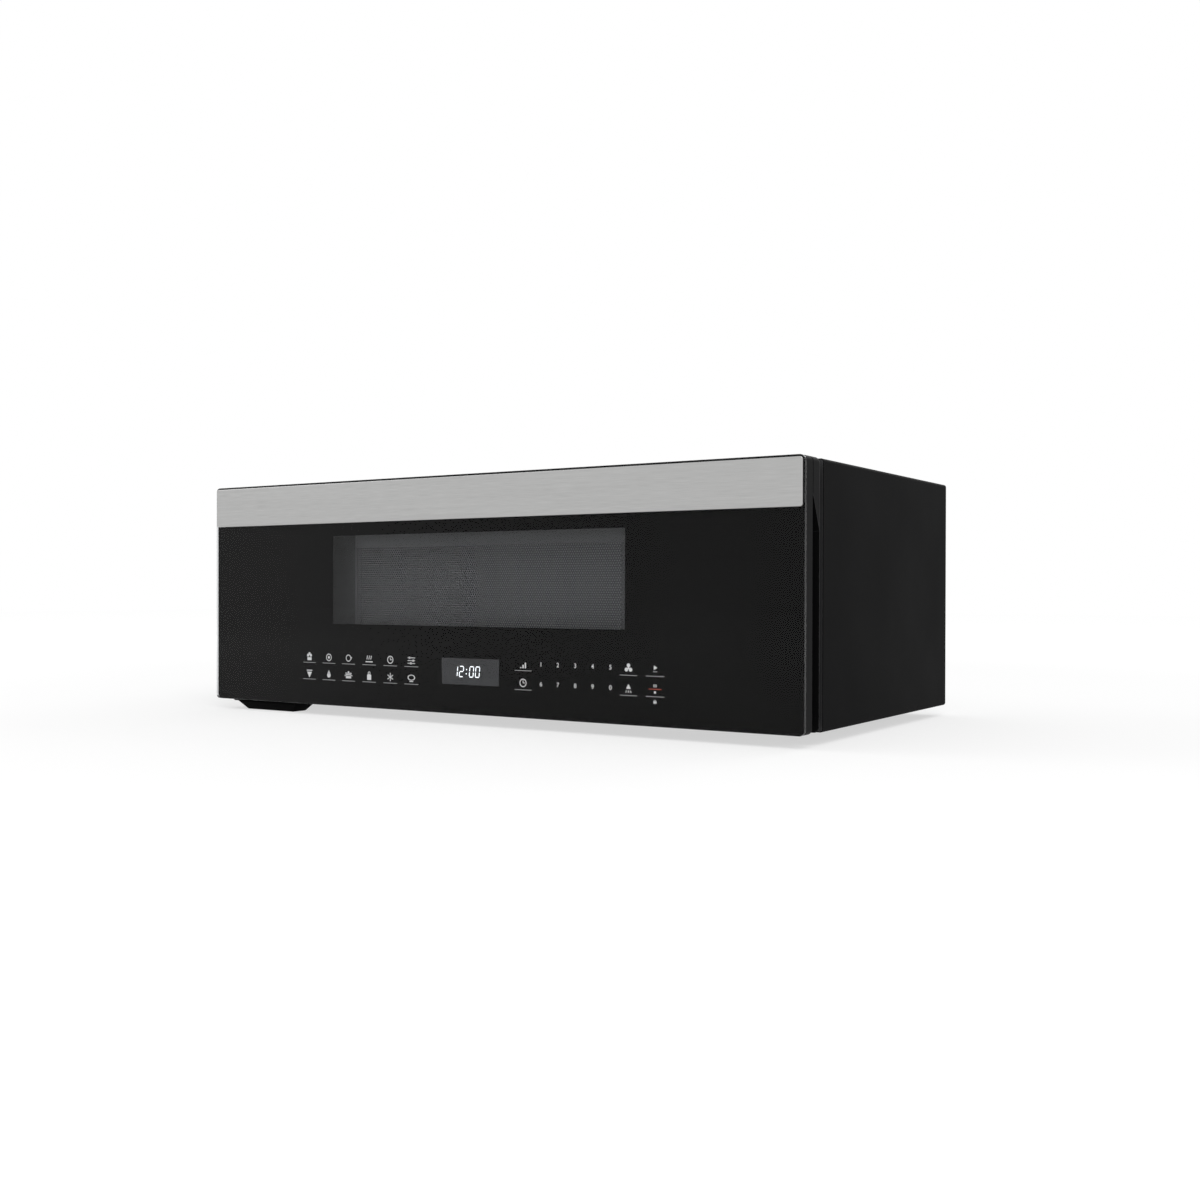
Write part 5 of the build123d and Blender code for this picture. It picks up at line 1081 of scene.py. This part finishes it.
screw_steel = plain_finish("screw steel", PLATED, 0.3, metal=1.0, tooth=1500, depth=0.1,
                           worn_and_lit_edge=(0.8, 0.8, 0.79), edge=0.3 * MM)
screws_for("door_screws", "door")
screws_for("rear_screws", "case")

# %% [markdown]
# ## The hinge cover
#
# Under the door's left end hangs a black moulding that covers the front of the lower hinge. In the photograph
# its ends slope, and its back as well, so that only a shallow tapered block shows below the door. The frame
# holds its plain bulk. Here a block of the same height, but only as deep as it looks, is drawn in: the lower
# face is picked by its normal, made smaller and pulled forward, and all edges are rounded by a bevel.

# %% Hinge cover
COVER_LENGTH = 102.0 * MM
COVER_DEPTH = 34.0 * MM
UNDERSIDE_LENGTH = 75.0 * MM
UNDERSIDE_DEPTH = 20.0 * MM
UNDERSIDE_START = 22.0 * MM  # from the top's left end
COVER_EDGE = 1.0 * MM
cover_low, cover_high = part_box("hinge_cover")
cover_size = Vector((COVER_LENGTH, COVER_DEPTH, cover_high.z - cover_low.z))

bpy.ops.mesh.primitive_cube_add(size=1, location=cover_low + cover_size / 2)
bpy.context.object.scale = cover_size
cover = joined("hinge_cover_shell", bpy.context.object)
end_shift = UNDERSIDE_START + (UNDERSIDE_LENGTH - COVER_LENGTH) / 2
front_shift = (UNDERSIDE_DEPTH - COVER_DEPTH) / 2
edit(
    cover,
    lower_faces_of(cover),
    resized(UNDERSIDE_LENGTH / COVER_LENGTH, UNDERSIDE_DEPTH / COVER_DEPTH, 1),
    lambda: bpy.ops.transform.translate(value=(end_shift, front_shift, 0)),
)
with_modifier(cover, "BEVEL", width=COVER_EDGE, segments=4, limit_method="ANGLE", angle_limit=math.radians(20))
edit(cover, outward)
bpy.ops.object.shade_smooth_by_angle(angle=math.radians(30))
cover_finish = plain_finish("hinge cover moulding", BLACK, 0.42, tooth=1500, depth=0.25, worn_and_lit_edge=WORN_AND_LIT_GREY,
                            mirror=0.02)
place_piece(cover, cover_finish, "case", "door_moulding", "hinge_cover")

# %% [markdown]
# ## The latch's return spring
#
# Inside the door a small coil spring pushes the latch bar down. The frame's coil is stiff, so the bar would
# run into it where it lifts. Here a little ring of wire is turned round and upward by a Screw modifier, and
# its two ends are closed; the coil takes the place of the frame's one.

# %% Return spring
SPRING_TURNS = 6
TURN_FACES = 32
SPRING_WIRE = 0.5 * MM  # the wire's radius
WIRE_SIDES = 10
spring_low, spring_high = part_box("latch_spring")
spring_size = spring_high - spring_low
spring_place = (spring_low + spring_high) / 2
spring_place.z = spring_low.z

bpy.ops.mesh.primitive_circle_add(
    vertices=WIRE_SIDES, radius=SPRING_WIRE, rotation=(STANDING, 0, 0),
    location=(spring_size.x / 2 - SPRING_WIRE, 0, SPRING_WIRE),
)
coil = joined("return_spring", bpy.context.object)
rise = (spring_size.z - 2 * SPRING_WIRE) / SPRING_TURNS
with_modifier(coil, "SCREW", iterations=SPRING_TURNS, screw_offset=rise, steps=TURN_FACES,
              render_steps=TURN_FACES)
coil.location = spring_place
edit(joined("return_spring", coil), merge_points, lambda: bpy.ops.mesh.fill_holes(sides=0), outward)
bpy.ops.object.shade_smooth_by_angle(angle=math.radians(40))
spring_steel = plain_finish("spring steel", PLATED, 0.28, metal=1.0, tooth=1800, depth=0.08,
                            worn_and_lit_edge=(0.8, 0.8, 0.79), edge=0.2 * MM)
place_piece(coil, spring_steel, "door", "spring_wire", "latch_spring")
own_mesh(coil)
print("spring is", [round(c / MM, 1) for c in coil.dimensions], "mm")

# %% [markdown]
# ## Filter lattices
#
# A grease filter is covered by expanded aluminium: sheet that was slit and pulled open into diamonds. One
# diamond is a four-sided disc, drawn long and opened like the screen's tile. It repeats in the same way, is
# cut to the rim's opening by four bisects, and gets the sheet's thickness last. It lies in the recess on the
# filter's underside.

# %% Lattice
DIAMOND_LENGTH = 9.0 * MM
DIAMOND_WIDTH = 4.4 * MM
STRAND = 0.42 * MM
LATTICE_T = 0.7 * MM
LATTICE_RISE = 1.9 * MM  # from the filter's lowest point to the middle of the sheet
OPENING = Vector((196.0 * MM, 114.0 * MM, 0))
PLAY = Vector((0.5 * MM, 0.5 * MM, 0))


def trim(piece, low, high):
    """Cuts a flat piece to a rectangle that lies level."""
    def cut():
        for place, outside in ((low, (-1, 0, 0)), (low, (0, -1, 0)), (high, (1, 0, 0)), (high, (0, 1, 0))):
            bpy.ops.mesh.select_all(action="SELECT")
            bpy.ops.mesh.bisect(plane_co=place, plane_no=outside, clear_outer=True)

    edit(piece, cut)


def lattice(name, node):
    """Expanded metal in the opening on the underside of a filter."""
    low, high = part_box(node)
    tile = disc(4, 0.5)
    tile.scale = (DIAMOND_LENGTH, DIAMOND_WIDTH, 1)
    tile = opened(joined(name, tile), STRAND)
    along = int(OPENING.x / DIAMOND_LENGTH) + 2
    across = int(OPENING.y / DIAMOND_WIDTH) + 2
    shift = (DIAMOND_LENGTH / 2, DIAMOND_WIDTH / 2, 0)
    grid_of(tile, (DIAMOND_LENGTH, 0, 0), (0, DIAMOND_WIDTH, 0), shift, along, across)
    corner = (low + high - OPENING) / 2
    corner.z = low.z + LATTICE_RISE
    tile.location = corner
    bpy.ops.object.transform_apply(location=True, rotation=True, scale=True)
    trim(tile, corner + PLAY, corner + OPENING - PLAY)
    with_modifier(tile, "SOLIDIFY", thickness=LATTICE_T, offset=0)
    place_piece(edit(tile, outward), lattice_metal, "case", "filter_aluminium")


lattice_metal = plain_finish("lattice aluminium", (0.66, 0.67, 0.68), 0.34, metal=1.0, tooth=1400, depth=0.1)
lattice("filter_lattice_left", "grease_filter_left")
lattice("filter_lattice_right", "grease_filter_right")
